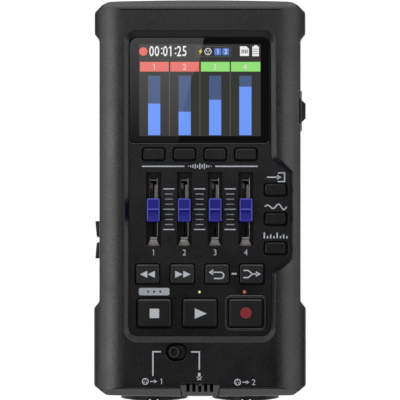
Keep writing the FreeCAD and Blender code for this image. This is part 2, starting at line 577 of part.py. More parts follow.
# ---------------------------------------------------------------- microphone
grille = prism([(-8.0, -72.9, 0), (-8.0, -74.5, 0), (-7.1, -79.1, 0), (7.1, -79.1, 0), (8.0, -74.5, 0), (8.0, -72.9, 0)], 33.4, 41.0)
gs = 4.9 / 4.3
grille = grille.cut(profile_x([(-74.4, 41.0), (-80.4, 41.0 - 6.0 * gs), (-80.4, 45), (-74.4, 45)], -12, 12))
cavity = profile_x([(-72.0, 33.0), (-77.3, 33.0), (-77.3, 36.2), (-74.8, 39.2), (-72.0, 39.2)], -5.9, 5.9)
grille = grille.cut(cavity)
for i in range(5):
    x = (i - 2) * 2.36 - 0.1
    slot = fuse(box(x - 0.68, x + 0.68, -77.25, -74.3, 34.5, 42), cyl((x, -74.3, 34.5), 0.68, 8))
    grille = grille.cut(slot)
add("mic_grille", grille.removeSplitter())
add("mic_capsule", fuse(cyl((0, -70.6, 35.2), 2.9, 4.1, (0, -1, 0)), cyl((0, -69.6, 35.2), 2.4, 1.2, (0, -1, 0))))


# ---------------------------------------------------------------- jacks
def jack_housing(cx):
    """Housing of a combined three-pin and quarter-inch socket, with its round collar."""
    b = box(cx - 12.3, cx + 12.3, -76.1, -53.6, 8.0, 32.6)
    b = b.makeFillet(1.5, [e for e in b.Edges if abs(e.BoundBox.YLength) > 20])
    neck = cyl((cx, -76.0, JACK_Z), 12.4, 3.5, (0, -1, 0))
    flange = cyl((cx, JACK_FRONT + 1.7, JACK_Z), JACK_FLANGE_R, 1.7, (0, -1, 0))
    flange = flange.makeChamfer(0.3, [e for e in flange.Edges if abs(e.BoundBox.YMin - JACK_FRONT) < 1e-3 and e.BoundBox.YLength < 1e-3])
    ring = cyl((cx, JACK_FRONT + 0.1, JACK_Z), 10.75, 0.55, (0, -1, 0))
    j = fuse(b, neck, flange, ring)
    j = j.cut(cyl((cx, -68.0, JACK_Z), 9.6, 14, (0, -1, 0))).cut(cyl((cx, -54.4, JACK_Z), 8.0, 15, (0, -1, 0)))
    j = j.cut(box(cx - 1.9, cx + 1.9, -82, JACK_FRONT + 0.35, JACK_Z + 8, JACK_Z + 14))
    j = j.cut(box(cx - 1.5, cx + 1.5, -82, -72, JACK_Z + 9.0, JACK_Z + 10.4))
    return j.removeSplitter()


def jack_insert(cx):
    """Round contact block with the quarter-inch bore and three contact holes."""
    j = cyl((cx, -54.6, JACK_Z), 7.95, 25.8, (0, -1, 0))
    j = j.makeChamfer(0.3, [e for e in j.Edges if abs(e.BoundBox.YMin + 80.4) < 1e-3 and e.BoundBox.YLength < 1e-3])
    j = j.cut(cyl((cx, -54.0, JACK_Z), JACK_BORE_R, 30, (0, -1, 0)))
    for a in (-90, 30, 150):
        j = j.cut(cyl((cx + 5.65 * math.cos(math.radians(a)), -66, JACK_Z + 5.65 * math.sin(math.radians(a))), 1.25, 16, (0, -1, 0)))
    return j.removeSplitter()


add("jack_housing_a", jack_housing(-JACK_X))
add("jack_housing_b", jack_housing(JACK_X))
add("jack_insert_a", jack_insert(-JACK_X))
add("jack_insert_b", jack_insert(JACK_X))
pins = []
for s in (-1, 1):
    for dx, dy in ((-9, -60), (-4.5, -58), (0, -60), (4.5, -58), (9, -60)):
        pins.append(box(s * JACK_X + dx - 0.3, s * JACK_X + dx + 0.3, dy - 0.3, dy + 0.3, 4.2, 8.0))
add("jack_pins", pins)


def mini_jack(y):
    b = box(-38.1, -26.0, y - 3.1, y + 3.1, MINI_Z - 2.7, BOARD_Z0)
    barrel = cyl((-38.0, y, MINI_Z), 3.0, 2.2, (-1, 0, 0))
    j = fuse(b, barrel)
    j = j.cut(cyl((-27.4, y, MINI_Z), MINI_R, 14, (-1, 0, 0)))
    return j


add("phone_jack", mini_jack(MINI_Y[0]))
add("line_jack", mini_jack(MINI_Y[1]))

usb = stadium_x(USB_Y, USB_Z, 8.94, 3.26, 31.6, 39.6).cut(stadium_x(USB_Y, USB_Z, 8.34, 2.56, 32.6, 42))
usb = fuse(usb, box(32.4, 38.8, USB_Y - 3.35, USB_Y + 3.35, USB_Z - 0.35, USB_Z + 0.35))
add("usb_port", fuse(usb, box(32.0, 36.4, USB_Y - 3.4, USB_Y + 3.4, USB_Z + 1.5, BOARD_Z0)))
card = box(24.0, 36.5, CARD_Y - 7.2, CARD_Y + 7.2, CARD_Z - 1.1, BOARD_Z0).cut(box(25.0, 40, CARD_Y - 5.9, CARD_Y + 5.9, CARD_Z - 0.5, CARD_Z + 0.5))
add("card_socket", card)

# ---------------------------------------------------------------- card flap
fy0, fy1 = FLAP_Y
flap = box(39.25, HALF_WAIST, fy0, fy1, FLAP_HZ, 30.4)
flap = flap.makeFillet(0.3, [e for e in flap.Edges if e.BoundBox.XMin > HALF_WAIST - 1e-3 and e.BoundBox.ZMin > FLAP_HZ + 1])
barrel = cyl((FLAP_HX, fy0, FLAP_HZ), FLAP_R, fy1 - fy0, (0, 1, 0))
pin = cyl((FLAP_HX, fy0 - 1.3, FLAP_HZ), 0.5, fy1 - fy0 + 2.6, (0, 1, 0))
add("card_cover", fuse(flap, barrel, pin))


# ---------------------------------------------------------------- side keys and power switch
def volume_key(y0, y1, outer_end):
    """Key that stands out of the left wall, higher at its outer end."""
    x_hi, x_lo = -42.4, -41.85
    if outer_end == "top":
        pts = [(y1, x_hi), (y0 + 0.35, x_lo), (y0, x_lo + 0.5)]
    else:
        pts = [(y0, x_hi), (y1 - 0.35, x_lo), (y1, x_lo + 0.5)]
    a, b, c = pts
    poly = [V(a[1], a[0], 0), V(b[1], b[0], 0), V(c[1], c[0], 0), V(-38.1, c[0], 0), V(-38.1, a[0], 0)]
    f = Part.Face(Part.makePolygon(poly + [poly[0]]))
    f.translate(V(0, 0, VOL_Z[0]))
    k = f.extrude(V(0, 0, VOL_Z[1] - VOL_Z[0]))
    try:
        es = [e for e in k.Edges if e.BoundBox.XMax < -41.3 and e.BoundBox.ZLength < 0.01]
        k = k.makeFillet(0.35, es)
    except Exception:
        print("volume key fillet skipped")
    flange = box(-38.1, -37.3, y0 - 0.7, y1 + 0.7, VOL_Z[0] - 0.7, VOL_Z[1] + 0.7)
    flange = flange.common(box(-50, 0, -24.4 if y0 < -17.1 else -16.0, -16.2 if y0 < -17.1 else -7.5, 0, 60))
    return fuse(k, flange)


add("volume_up_button", volume_key(VOL_Y[0][0], VOL_Y[0][1], "top"))
add("volume_down_button", volume_key(VOL_Y[1][0], VOL_Y[1][1], "bottom"))

py0, py1 = POWER_Y
pm = (POWER_KNOB[0] + POWER_KNOB[1]) / 2
bezel = box(HALF_WAIST, 41.1, py0, py1, POWER_Z - 4.7, POWER_Z + 4.6)
bezel = bezel.makeChamfer(0.25, [e for e in bezel.Edges if e.BoundBox.XMin > 41.09])
bezel = fuse(bezel, box(38.7, 40.6, py0 + 0.6, py1 - 0.6, POWER_Z - 4.1, POWER_Z + 4.1))
bezel = bezel.cut(box(38, 42, pm - 6.7, pm + 6.7, POWER_Z - 2.7, POWER_Z + 2.7))
add("power_bezel", bezel)
k0, k1 = POWER_KNOB
kp = [V(41.2, k0, 0), V(41.3, k0, 0), V(HALF_W, k0 + 1.25, 0), V(HALF_W, k1 - 1.25, 0), V(41.3, k1, 0), V(41.2, k1, 0)]
kf = Part.Face(Part.makePolygon(kp + [kp[0]]))
kf.translate(V(0, 0, POWER_Z - 3.9))
pk = kf.extrude(V(0, 0, 7.8))
for i in range(-2, 3):
    pk = pk.cut(box(42.25, 43, pm + i * 0.95 - 0.22, pm + i * 0.95 + 0.22, POWER_Z - 3.0, POWER_Z + 3.0))
neck = box(38.5, 41.25, pm - 3.3, pm + 3.3, POWER_Z - 2.55, POWER_Z + 2.55)
shoe = box(37.6, 38.6, pm - 3.9, pm + 3.9, POWER_Z - 3.4, POWER_Z + 3.4)
fork = box(36.9, 37.7, pm - 1.0, pm + 1.0, POWER_Z - 1.0, POWER_Z + 1.0)
add("power_slider", fuse(pk, neck, shoe, fork))
add("power_switch", fuse(box(32.0, 36.1, pm - 5.0, pm + 5.0, BOARD_Z1, 33.6), box(36.0, 36.6, pm - 4.6, pm + 4.6, 30.2, 33.2)))

# ---------------------------------------------------------------- battery door, cells, contacts
door = box(-DOOR_X, DOOR_X, HINGE_Y + 3.3, DOOR_Y1, Z_BACK, Z_BACK + 1.8)
# the ends beside the barrel are hollowed to a cylinder about the hinge, so they swing past the shell
for s in (-1, 1):
    door = door.cut(cyl((s * 28.0 if s > 0 else -31.0, HINGE_Y, HINGE_Z), 4.22, 3.0, (1, 0, 0)))
door = door.fuse([box(-28.0, 28.0, HINGE_Y, HINGE_Y + 3.4, Z_BACK, Z_BACK + 1.8),
                  cyl((-28.0, HINGE_Y, HINGE_Z), HINGE_R, 56.0, (1, 0, 0)),
                  cyl((-30.2, HINGE_Y, HINGE_Z), 1.2, 60.4, (1, 0, 0))])
# stiffening ribs inside the door, between the cells, and finger grooves at its free end
door = door.fuse([box(x - 0.4, x + 0.4, CELL_Y0, CELL_Y0 + CELL_L, Z_BACK + 1.7, Z_BACK + 2.4) for x in (-14.5, 0, 14.5)])
for i in range(5):
    door = door.cut(box(-7, 7, DOOR_Y1 - 2.0 - i * 1.6, DOOR_Y1 - 1.3 - i * 1.6, Z_BACK - 1, Z_BACK + 0.35))
add("battery_door", door.removeSplitter())

cells, contacts = [], []
for i, x in enumerate((-21.75, -7.25, 7.25, 21.75)):
    zc = Z_BACK + 2.5 + CELL_R
    up = i % 2 == 0
    y0 = CELL_Y0
    y1 = CELL_Y0 + CELL_L
    if up:
        c = fuse(cyl((x, y0, zc), CELL_R, CELL_L - 1.4, (0, 1, 0)), cyl((x, y1 - 1.5, zc), 2.7, 1.5, (0, 1, 0)))
    else:
        c = fuse(cyl((x, y0 + 1.4, zc), CELL_R, CELL_L - 1.4, (0, 1, 0)), cyl((x, y0, zc), 2.7, 1.5, (0, 1, 0)))
    cells.append(c)
    minus, plus, d = (y0, y1, 1) if up else (y1, y0, -1)
    # spring plate with a cone of rings at the minus end, button plate at the plus end
    ring = [Part.makeTorus(4.4 - 0.7 * n, 0.4, V(x, minus - d * (2.1 - 0.7 * n), zc), V(0, 1, 0)) for n in range(3)]
    plate = box(x - 5.5, x + 5.5, min(minus - d * 2.6, minus - d * 2.2), max(minus - d * 2.6, minus - d * 2.2), zc - 5.5, zc + 5.5)
    contacts.append(fuse(plate, *ring))
    pl = box(x - 5.5, x + 5.5, min(plus + d * 2.6, plus + d * 2.2), max(plus + d * 2.6, plus + d * 2.2), zc - 5.5, zc + 5.5)
    contacts.append(fuse(pl, cyl((x, plus + d * 0.05, zc), 2.2, 2.2, (0, d, 0))))
add("battery_cells", cells)
add("battery_contacts", contacts)

# ---------------------------------------------------------------- feet, screws, thread insert
feet = []
for x in (-31, 31):
    for y in (64.5, -63.5):
        f = rbox(x, y, 12.0, 8.0, 2.0, 0, Z_BACK + 0.6)
        feet.append(f.makeChamfer(0.3, top_edges(f, 0)))
add("rubber_feet", feet)
screws = []
for x, y in SCREWS:
    tip = BOARD_Z1 + 6.5 if y > -60 else Z_SPLIT + 7.0
    head = cyl((x, y, 2.2), 2.3, 1.6)
    head = head.cut(box(x - 1.3, x + 1.3, y - 0.25, y + 0.25, 2.0, 3.0)).cut(box(x - 0.25, x + 0.25, y - 1.3, y + 1.3, 2.0, 3.0))
    screws.append(fuse(head, cyl((x, y, 3.7), 1.2, tip - 3.7)))
add("case_screws", screws)
insert = fuse(cyl((0, TRIPOD_Y, Z_BACK + 0.05), 5.4, 7.4))
insert = insert.cut(cyl((0, TRIPOD_Y, 0), TRIPOD_R, Z_BACK + TRIPOD_L))
add("tripod_insert", insert)

os.makedirs("parts", exist_ok=True)
for name, shape in parts.items():
    if not shape.isValid():
        print("INVALID", name)
    shape.exportStep("parts/%s.step" % name)
print(len(parts), "nodes")
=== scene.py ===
import bpy, bmesh, math, random
from mathutils import Vector, Matrix
from mathutils.geometry import tessellate_polygon


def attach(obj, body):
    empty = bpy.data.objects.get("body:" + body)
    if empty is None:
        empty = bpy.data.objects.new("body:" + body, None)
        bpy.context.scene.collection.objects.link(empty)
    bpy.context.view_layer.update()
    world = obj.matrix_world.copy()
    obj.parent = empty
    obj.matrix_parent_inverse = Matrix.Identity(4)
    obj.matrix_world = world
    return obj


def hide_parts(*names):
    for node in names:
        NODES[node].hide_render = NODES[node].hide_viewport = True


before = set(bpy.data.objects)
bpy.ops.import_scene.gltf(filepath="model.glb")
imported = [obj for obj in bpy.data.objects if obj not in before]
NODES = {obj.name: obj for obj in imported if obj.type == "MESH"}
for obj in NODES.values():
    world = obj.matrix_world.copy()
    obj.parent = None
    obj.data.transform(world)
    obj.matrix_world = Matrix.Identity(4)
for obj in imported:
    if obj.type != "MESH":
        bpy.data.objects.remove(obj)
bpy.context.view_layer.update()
MM = 0.001
scene = bpy.context.scene
scene.view_settings.view_transform = "Standard"
scene.view_settings.look = "None"
scene.view_settings.exposure = 0.0
scene.view_settings.gamma = 1.0

# ------------------------------------------------------------------ camera
CAM_Z = 1027.0          # mm above the floor
FACE_SCALE = 0.4013     # mm per pixel at z = 41 mm
cam_data = bpy.data.cameras.new("camera")
cam_data.sensor_width = 36.0
cam_data.lens = 36.0 * (CAM_Z - 41.0) / (400 * FACE_SCALE)
cam_data.clip_start = 0.05
cam_data.clip_end = 20.0
cam = bpy.data.objects.new("camera", cam_data)
cam.location = (0, 0, CAM_Z * MM)
scene.collection.objects.link(cam)
scene.camera = cam


def at(px, py, z):
    """Frame position of an image point on the plane z (mm), in mm."""
    k = FACE_SCALE * (CAM_Z - z) / (CAM_Z - 41.0)
    return (px - 200.0) * k, (200.0 - py) * k


# ------------------------------------------------------------------ mesh helpers
def new_mesh(name, bm, body, mat=None, smooth=False, sharp=35):
    bmesh.ops.recalc_face_normals(bm, faces=bm.faces)
    me = bpy.data.meshes.new(name)
    bm.to_mesh(me)
    bm.free()
    if smooth:
        me.polygons.foreach_set("use_smooth", [True] * len(me.polygons))
        me.set_sharp_from_angle(angle=math.radians(sharp))
    ob = bpy.data.objects.new(name, me)
    scene.collection.objects.link(ob)
    if mat is not None:
        me.materials.append(mat)
    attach(ob, body)
    return ob


def add_prism(bm, loops, z0, z1, mat_index=0, to3d=None):
    """Closed solid over 2-D loops (the first is the outline, the others are holes), in mm."""
    polys = [[Vector((x, y, 0.0)) for x, y in lp] for lp in loops]
    tris = tessellate_polygon(polys)
    flat = [p for lp in polys for p in lp]
    f3 = to3d or (lambda x, y, z: (x, y, z))
    lo = [bm.verts.new(Vector(f3(p.x, p.y, z0)) * MM) for p in flat]
    hi = [bm.verts.new(Vector(f3(p.x, p.y, z1)) * MM) for p in flat]
    made = []
    for a, b, c in tris:
        for vs in ((hi[a], hi[b], hi[c]), (lo[c], lo[b], lo[a])):
            try:
                made.append(bm.faces.new(vs))
            except ValueError:
                pass
    i = 0
    for lp in polys:
        n = len(lp)
        for k in range(n):
            a, b = i + k, i + (k + 1) % n
            made.append(bm.faces.new((lo[a], lo[b], hi[b], hi[a])))
        i += n
    for f in made:
        f.material_index = mat_index
    return made


def rect(x0, y0, x1, y1, r=0.0, n=5):
    x0, x1 = min(x0, x1), max(x0, x1)
    y0, y1 = min(y0, y1), max(y0, y1)
    if r <= 0:
        return [(x0, y0), (x1, y0), (x1, y1), (x0, y1)]
    r = min(r, (x1 - x0) / 2 - 1e-4, (y1 - y0) / 2 - 1e-4)
    out = []
    for cx, cy, a0 in ((x1 - r, y0 + r, -90), (x1 - r, y1 - r, 0), (x0 + r, y1 - r, 90), (x0 + r, y0 + r, 180)):
        for k in range(n + 1):
            a = math.radians(a0 + 90 * k / n)
            out.append((cx + r * math.cos(a), cy + r * math.sin(a)))
    return out


def disc(cx, cy, r, n=28, a0=0.0):
    return [(cx + r * math.cos(a0 + 2 * math.pi * k / n), cy + r * math.sin(a0 + 2 * math.pi * k / n)) for k in range(n)]


def stroke(points, w, closed=False, cap=True):
    """Outline of a line of width w through points, with square mitres."""
    n = len(points)
    left, right = [], []
    for i, (x, y) in enumerate(points):
        p = Vector((x, y))
        if closed or 0 < i < n - 1:
            a = Vector(points[i - 1])
            b = Vector(points[(i + 1) % n])
            d1, d2 = (p - a).normalized(), (b - p).normalized()
        elif i == 0:
            d1 = d2 = (Vector(points[1]) - p).normalized()
        else:
            d1 = d2 = (p - Vector(points[i - 1])).normalized()
        nrm = Vector((-d1.y - d2.y, d1.x + d2.x))
        nrm = nrm.normalized() if nrm.length > 1e-6 else Vector((-d1.y, d1.x))
        c = max(0.35, nrm.dot(Vector((-d1.y, d1.x))))
        off = nrm * (w / 2 / c)
        left.append((p.x + off.x, p.y + off.y))
        right.append((p.x - off.x, p.y - off.y))
    if closed:
        return [left, right]
    return [left + right[::-1]]


def arc(cx, cy, r, a0, a1, n=16):
    return [(cx + r * math.cos(math.radians(a0 + (a1 - a0) * k / n)), cy + r * math.sin(math.radians(a0 + (a1 - a0) * k / n))) for k in range(n + 1)]


def moved(loops, dx, dy, s=1.0):
    return [[(x * s + dx, y * s + dy) for x, y in lp] for lp in loops]


def glyph_loops(text, height, width_scale=1.0, weight=0.0):
    """Outlines of numerals as loops in mm, centred on the origin, with the given cap height."""
    if text == "1":
        bm = bmesh.new()
        h = height / 2
        g = max(0.0, weight) * 0.6
        sx = height * (0.8 + 0.2 * width_scale)
        pts = [(0.075 + g, 0.0), (0.075 + g, 1.0), (-0.015, 1.0), (-0.20, 0.86), (-0.20, 0.745 - g), (-0.045 - g, 0.84 - g), (-0.045 - g, 0.0)]
        vs = [bm.verts.new((x * sx, y * height - h, 0)) for x, y in pts]
        for i0, i1, i2 in tessellate_polygon([[v.co for v in vs]]):
            bm.faces.new((vs[i0], vs[i1], vs[i2]))
        return bm
    cu = bpy.data.curves.new("glyphs", "FONT")
    cu.body = text
    cu.size = 1.0
    cu.offset = weight
    cu.resolution_u = 4
    ob = bpy.data.objects.new("glyphs", cu)
    scene.collection.objects.link(ob)
    bpy.context.view_layer.update()
    me = bpy.data.meshes.new_from_object(ob)
    bm = bmesh.new()
    bm.from_mesh(me)
    bmesh.ops.remove_doubles(bm, verts=bm.verts, dist=1e-5)
    bpy.data.objects.remove(ob)
    bpy.data.curves.remove(cu)
    bpy.data.meshes.remove(me)
    xs = [v.co.x for v in bm.verts]
    ys = [v.co.y for v in bm.verts]
    s = height / (max(ys) - min(ys))
    mx, my = (max(xs) + min(xs)) / 2, (max(ys) + min(ys)) / 2
    for v in bm.verts:
        v.co.x = (v.co.x - mx) * s * width_scale
        v.co.y = (v.co.y - my) * s
    return bm


def extrude_flat(bm_flat, bm, dx, dy, z0, z1, mat_index=0, to3d=None):
    """Adds the flat mesh bm_flat (mm) to bm as a closed solid."""
    f3 = to3d or (lambda x, y, z: (x, y, z))
    verts = list(bm_flat.verts)
    idx = {v: i for i, v in enumerate(verts)}
    lo = [bm.verts.new(Vector(f3(v.co.x + dx, v.co.y + dy, z0)) * MM) for v in verts]
    hi = [bm.verts.new(Vector(f3(v.co.x + dx, v.co.y + dy, z1)) * MM) for v in verts]
    for f in bm_flat.faces:
        vs = [idx[v] for v in f.verts]
        a = bm.faces.new([hi[i] for i in vs])
        b = bm.faces.new([lo[i] for i in reversed(vs)])
        a.material_index = b.material_index = mat_index
    for e in bm_flat.edges:
        if len(e.link_faces) == 1:
            lp = e.link_loops[0]
            a, b = idx[lp.vert], idx[lp.link_loop_next.vert]
            f = bm.faces.new((lo[a], lo[b], hi[b], hi[a]))
            f.material_index = mat_index


def lathe(bm, profile, centre, axis="z", n=40, a0=0.0, a1=360.0, mat_index=0):
    """Turns (radius, height) points about an axis through centre. Everything in mm."""
    full = abs(a1 - a0) >= 359.9
    m = n if full else n + 1
    rings = []
    for r, h in profile:
        ring = []
        for k in range(m):
            a = math.radians(a0 + (a1 - a0) * k / n)
            u, v = r * math.cos(a), r * math.sin(a)
            if axis == "z":
                p = (centre[0] + u, centre[1] + v, centre[2] + h)
            elif axis == "y":
                p = (centre[0] + u, centre[1] + h, centre[2] + v)
            else:
                p = (centre[0] + h, centre[1] + u, centre[2] + v)
            ring.append(bm.verts.new(Vector(p) * MM))
        rings.append(ring)
    for i in range(len(rings) - 1):
        for k in range(n if full else n):
            j = (k + 1) % m if full else k + 1
            f = bm.faces.new((rings[i][k], rings[i][j], rings[i + 1][j], rings[i + 1][k]))
            f.material_index = mat_index
    return rings


def tube(bm, points, r, n=10, closed=False, mat_index=0):
    """Round tube along points (mm), with capped ends."""
    pts = [Vector(p) for p in points]
    m = len(pts)
    rings = []
    side = None
    for i, p in enumerate(pts):
        a = pts[i - 1] if (i or closed) else p
        b = pts[(i + 1) % m] if (i < m - 1 or closed) else p
        t = (b - a).normalized()
        if side is None:
            side = t.orthogonal().normalized()
        side = (side - t * side.dot(t)).normalized()
        up = t.cross(side)
        rings.append([bm.verts.new((p + (side * math.cos(2 * math.pi * k / n) + up * math.sin(2 * math.pi * k / n)) * r) * MM) for k in range(n)])
    last = m if closed else m - 1
    for i in range(last):
        A, B = rings[i], rings[(i + 1) % m]
        for k in range(n):
            f = bm.faces.new((A[k], A[(k + 1) % n], B[(k + 1) % n], B[k]))
            f.material_index = mat_index
    if not closed:
        bm.faces.new(rings[0][::-1]).material_index = mat_index
        bm.faces.new(rings[-1]).material_index = mat_index


# ------------------------------------------------------------------ materials
def material(name):
    m = bpy.data.materials.new(name)
    m.use_nodes = True
    nt = m.node_tree
    b = nt.nodes["Principled BSDF"]
    return m, nt, b


def node(nt, kind, **kw):
    n = nt.nodes.new(kind)
    for k, v in kw.items():
        if k == "inputs":
            for i, val in v.items():
                n.inputs[i].default_value = val
        else:
            setattr(n, k, v)
    return n


def lin(h, a=1.0):
    """Scene-linear colour of a #rrggbb string."""
    h = h.lstrip("#")
    out = []
    for i in (0, 2, 4):
        c = int(h[i:i + 2], 16) / 255.0
        out.append(c / 12.92 if c <= 0.04045 else ((c + 0.055) / 1.055) ** 2.4)
    return (*out, a)


def scaled(c, k):
    return (c[0] * k, c[1] * k, c[2] * k, 1.0)


def coords(nt):
    return node(nt, "ShaderNodeTexCoord").outputs["Object"]


def noise(nt, vec, scale, detail=2.0, rough=0.5, dist=0.0):
    n = node(nt, "ShaderNodeTexNoise", inputs={"Scale": scale, "Detail": detail, "Roughness": rough, "Distortion": dist})
    nt.links.new(vec, n.inputs["Vector"])
    return n.outputs["Fac"]


def remap(nt, val, a, b, c, d):
    n = node(nt, "ShaderNodeMapRange", inputs={"From Min": a, "From Max": b, "To Min": c, "To Max": d})
    nt.links.new(val, n.inputs["Value"])
    return n.outputs["Result"]


def mix_col(nt, fac, a, b):
    n = node(nt, "ShaderNodeMix", data_type="RGBA")
    for sock, v in ((n.inputs[6], a), (n.inputs[7], b)):
        if isinstance(v, (tuple, list)):
            sock.default_value = v
        else:
            nt.links.new(v, sock)
    if isinstance(fac, (int, float)):
        n.inputs[0].default_value = fac
    else:
        nt.links.new(fac, n.inputs[0])
    return n.outputs[2]


def math_node(nt, op, a, b=None, clamp=False):
    n = node(nt, "ShaderNodeMath", operation=op, use_clamp=clamp)
    for i, v in enumerate((a, b)):
        if v is None:
            continue
        if isinstance(v, (int, float)):
            n.inputs[i].default_value = v
        else:
            nt.links.new(v, n.inputs[i])
    return n.outputs[0]


def edge_fac(nt, radius):
    """1 along sharp convex and concave edges, 0 on open faces."""
    bev = node(nt, "ShaderNodeBevel", samples=4, inputs={"Radius": radius})
    geo = node(nt, "ShaderNodeNewGeometry")
    dot = node(nt, "ShaderNodeVectorMath", operation="DOT_PRODUCT")
    nt.links.new(bev.outputs["Normal"], dot.inputs[0])
    nt.links.new(geo.outputs["Normal"], dot.inputs[1])
    return remap(nt, dot.outputs["Value"], 0.995, 0.86, 0.0, 1.0), bev.outputs["Normal"]


def plastic(name, base, rough=0.5, grain=0.00002, grain_scale=2600.0, var=0.10, rough_var=0.07, edge=None, edge_r=0.00012,
            round_r=0.0, spec=0.5, smudge=0.25, deep=None, deep_y=None, slope=None, crest=None, hollow=None, dull_and_shaded=None, facing=None,
            fade=None):
    """Moulded plastic: fine grain in the relief and the colour, soft smudges in the gloss, paler edges that are partly
    wear and partly a painted highlight. Below the level deep (metres, from fully dull to clean) it is darker and
    duller: painted shade on the walls of a narrow gap. slope is the paler colour of 45-degree bevels, a painted
    highlight; crest (level, colour) that of the highest ridge, a painted highlight; hollow that of the slope below it,
    a painted shade. dull_and_shaded (x0, y1, z0, y0) is a stretch of wall right of x0, between y0 and y1 and under z0,
    that is duller and painted darker, a painted shade. facing (colour, both) is the paler colour of rounded edges that
    face +Y, or both ways along Y, a painted highlight. fade (y0, k0, y1, k1) scales the colour by k0 to k1 between y0
    and y1, a painted shading."""
    m, nt, b = material(name)
    vec = coords(nt)
    fine = noise(nt, vec, grain_scale, 3.0, 0.6)
    mid = noise(nt, vec, grain_scale / 7.0, 2.0, 0.5)
    big = noise(nt, vec, 45.0, 3.0, 0.55, 0.6)
    tone = math_node(nt, "ADD", math_node(nt, "MULTIPLY", fine, 0.7), math_node(nt, "MULTIPLY", mid, 0.3))
    col = mix_col(nt, remap(nt, tone, 0.3, 0.7, 0.0, 1.0), scaled(base, 1.0 - var), scaled(base, 1.0 + var))
    col = mix_col(nt, remap(nt, big, 0.35, 0.7, 0.0, smudge), col, scaled(base, 1.18))
    normal_in = None
    if edge is not None or round_r:
        fac, bn = edge_fac(nt, round_r or edge_r)
        if edge is not None:
            # paler edges: partly wear, partly a painted highlight
            wear_and_highlight = math_node(nt, "MULTIPLY", fac, remap(nt, mid, 0.3, 0.65, 0.55, 1.0))
            col = mix_col(nt, wear_and_highlight, col, edge)
        if round_r:
            normal_in = bn
    # painted shading: the colour is scaled between two levels along Y
    if fade:
        along = node(nt, "ShaderNodeSeparateXYZ")
        nt.links.new(vec, along.inputs[0])
        t = remap(nt, along.outputs["Y"], fade[0], fade[2], 0.0, 1.0)
        thin = mix_col(nt, remap(nt, tone, 0.3, 0.7, 0.0, 1.0), scaled(base, fade[1] * (1 - var)), scaled(base, fade[1] * (1 + var)))
        full = mix_col(nt, remap(nt, tone, 0.3, 0.7, 0.0, 1.0), scaled(base, fade[3] * (1 - var)), scaled(base, fade[3] * (1 + var)))
        col = mix_col(nt, t, thin, full)
    # painted highlight: paler colour on rounded edges that face along Y
    if facing:
        side = node(nt, "ShaderNodeSeparateXYZ")
        nt.links.new(node(nt, "ShaderNodeTexCoord").outputs["Normal"], side.inputs[0])
        ny = math_node(nt, "ABSOLUTE", side.outputs["Y"]) if facing[1] else side.outputs["Y"]
        f = math_node(nt, "MULTIPLY", remap(nt, ny, 0.3, 0.6, 0.0, 1.0), remap(nt, side.outputs["Z"], 0.1, 0.4, 0.0, 1.0))
        col = mix_col(nt, f, col, facing[0])
    if slope or crest:
        up = node(nt, "ShaderNodeSeparateXYZ")
        nt.links.new(node(nt, "ShaderNodeTexCoord").outputs["Normal"], up.inputs[0])
        # painted highlight on 45-degree bevels
        if slope:
            off = math_node(nt, "ABSOLUTE", math_node(nt, "SUBTRACT", up.outputs["Z"], 0.707))
            lit_side = math_node(nt, "MULTIPLY", remap(nt, off, 0.04, 0.12, 1.0, 0.0), math_node(nt, "GREATER_THAN", up.outputs["Y"], -0.4))
            col = mix_col(nt, lit_side, col, slope)
        # painted highlight on the ridge's top, painted shade on the slope below it
        if crest:
            pos = node(nt, "ShaderNodeSeparateXYZ")
            nt.links.new(vec, pos.inputs[0])
            top = math_node(nt, "MULTIPLY", math_node(nt, "GREATER_THAN", pos.outputs["Z"], crest[0]), math_node(nt, "GREATER_THAN", up.outputs["Z"], 0.95))
            col = mix_col(nt, top, col, crest[1])
            under = math_node(nt, "MULTIPLY", math_node(nt, "GREATER_THAN", pos.outputs["Z"], crest[0] - 0.0009), math_node(nt, "LESS_THAN", up.outputs["Y"], -0.3))
            col = mix_col(nt, under, col, hollow or scaled(base, 0.55))
    r = math_node(nt, "ADD", remap(nt, fine, 0.25, 0.75, rough - rough_var, rough + rough_var), remap(nt, big, 0.3, 0.7, -0.04, 0.05), clamp=True)
    # painted shade: darker and duller below the given level, as in the walls of a gap
    if deep:
        sep = node(nt, "ShaderNodeSeparateXYZ")
        nt.links.new(vec, sep.inputs[0])
        low = remap(nt, sep.outputs["Z"], deep[0], deep[1], 1.0, 0.0)
        if deep_y is not None:
            low = math_node(nt, "MULTIPLY", low, math_node(nt, "LESS_THAN", sep.outputs["Y"], deep_y))
        col = mix_col(nt, low, col, scaled(base, 0.12))
        r = math_node(nt, "ADD", r, math_node(nt, "MULTIPLY", low, 0.5), clamp=True)
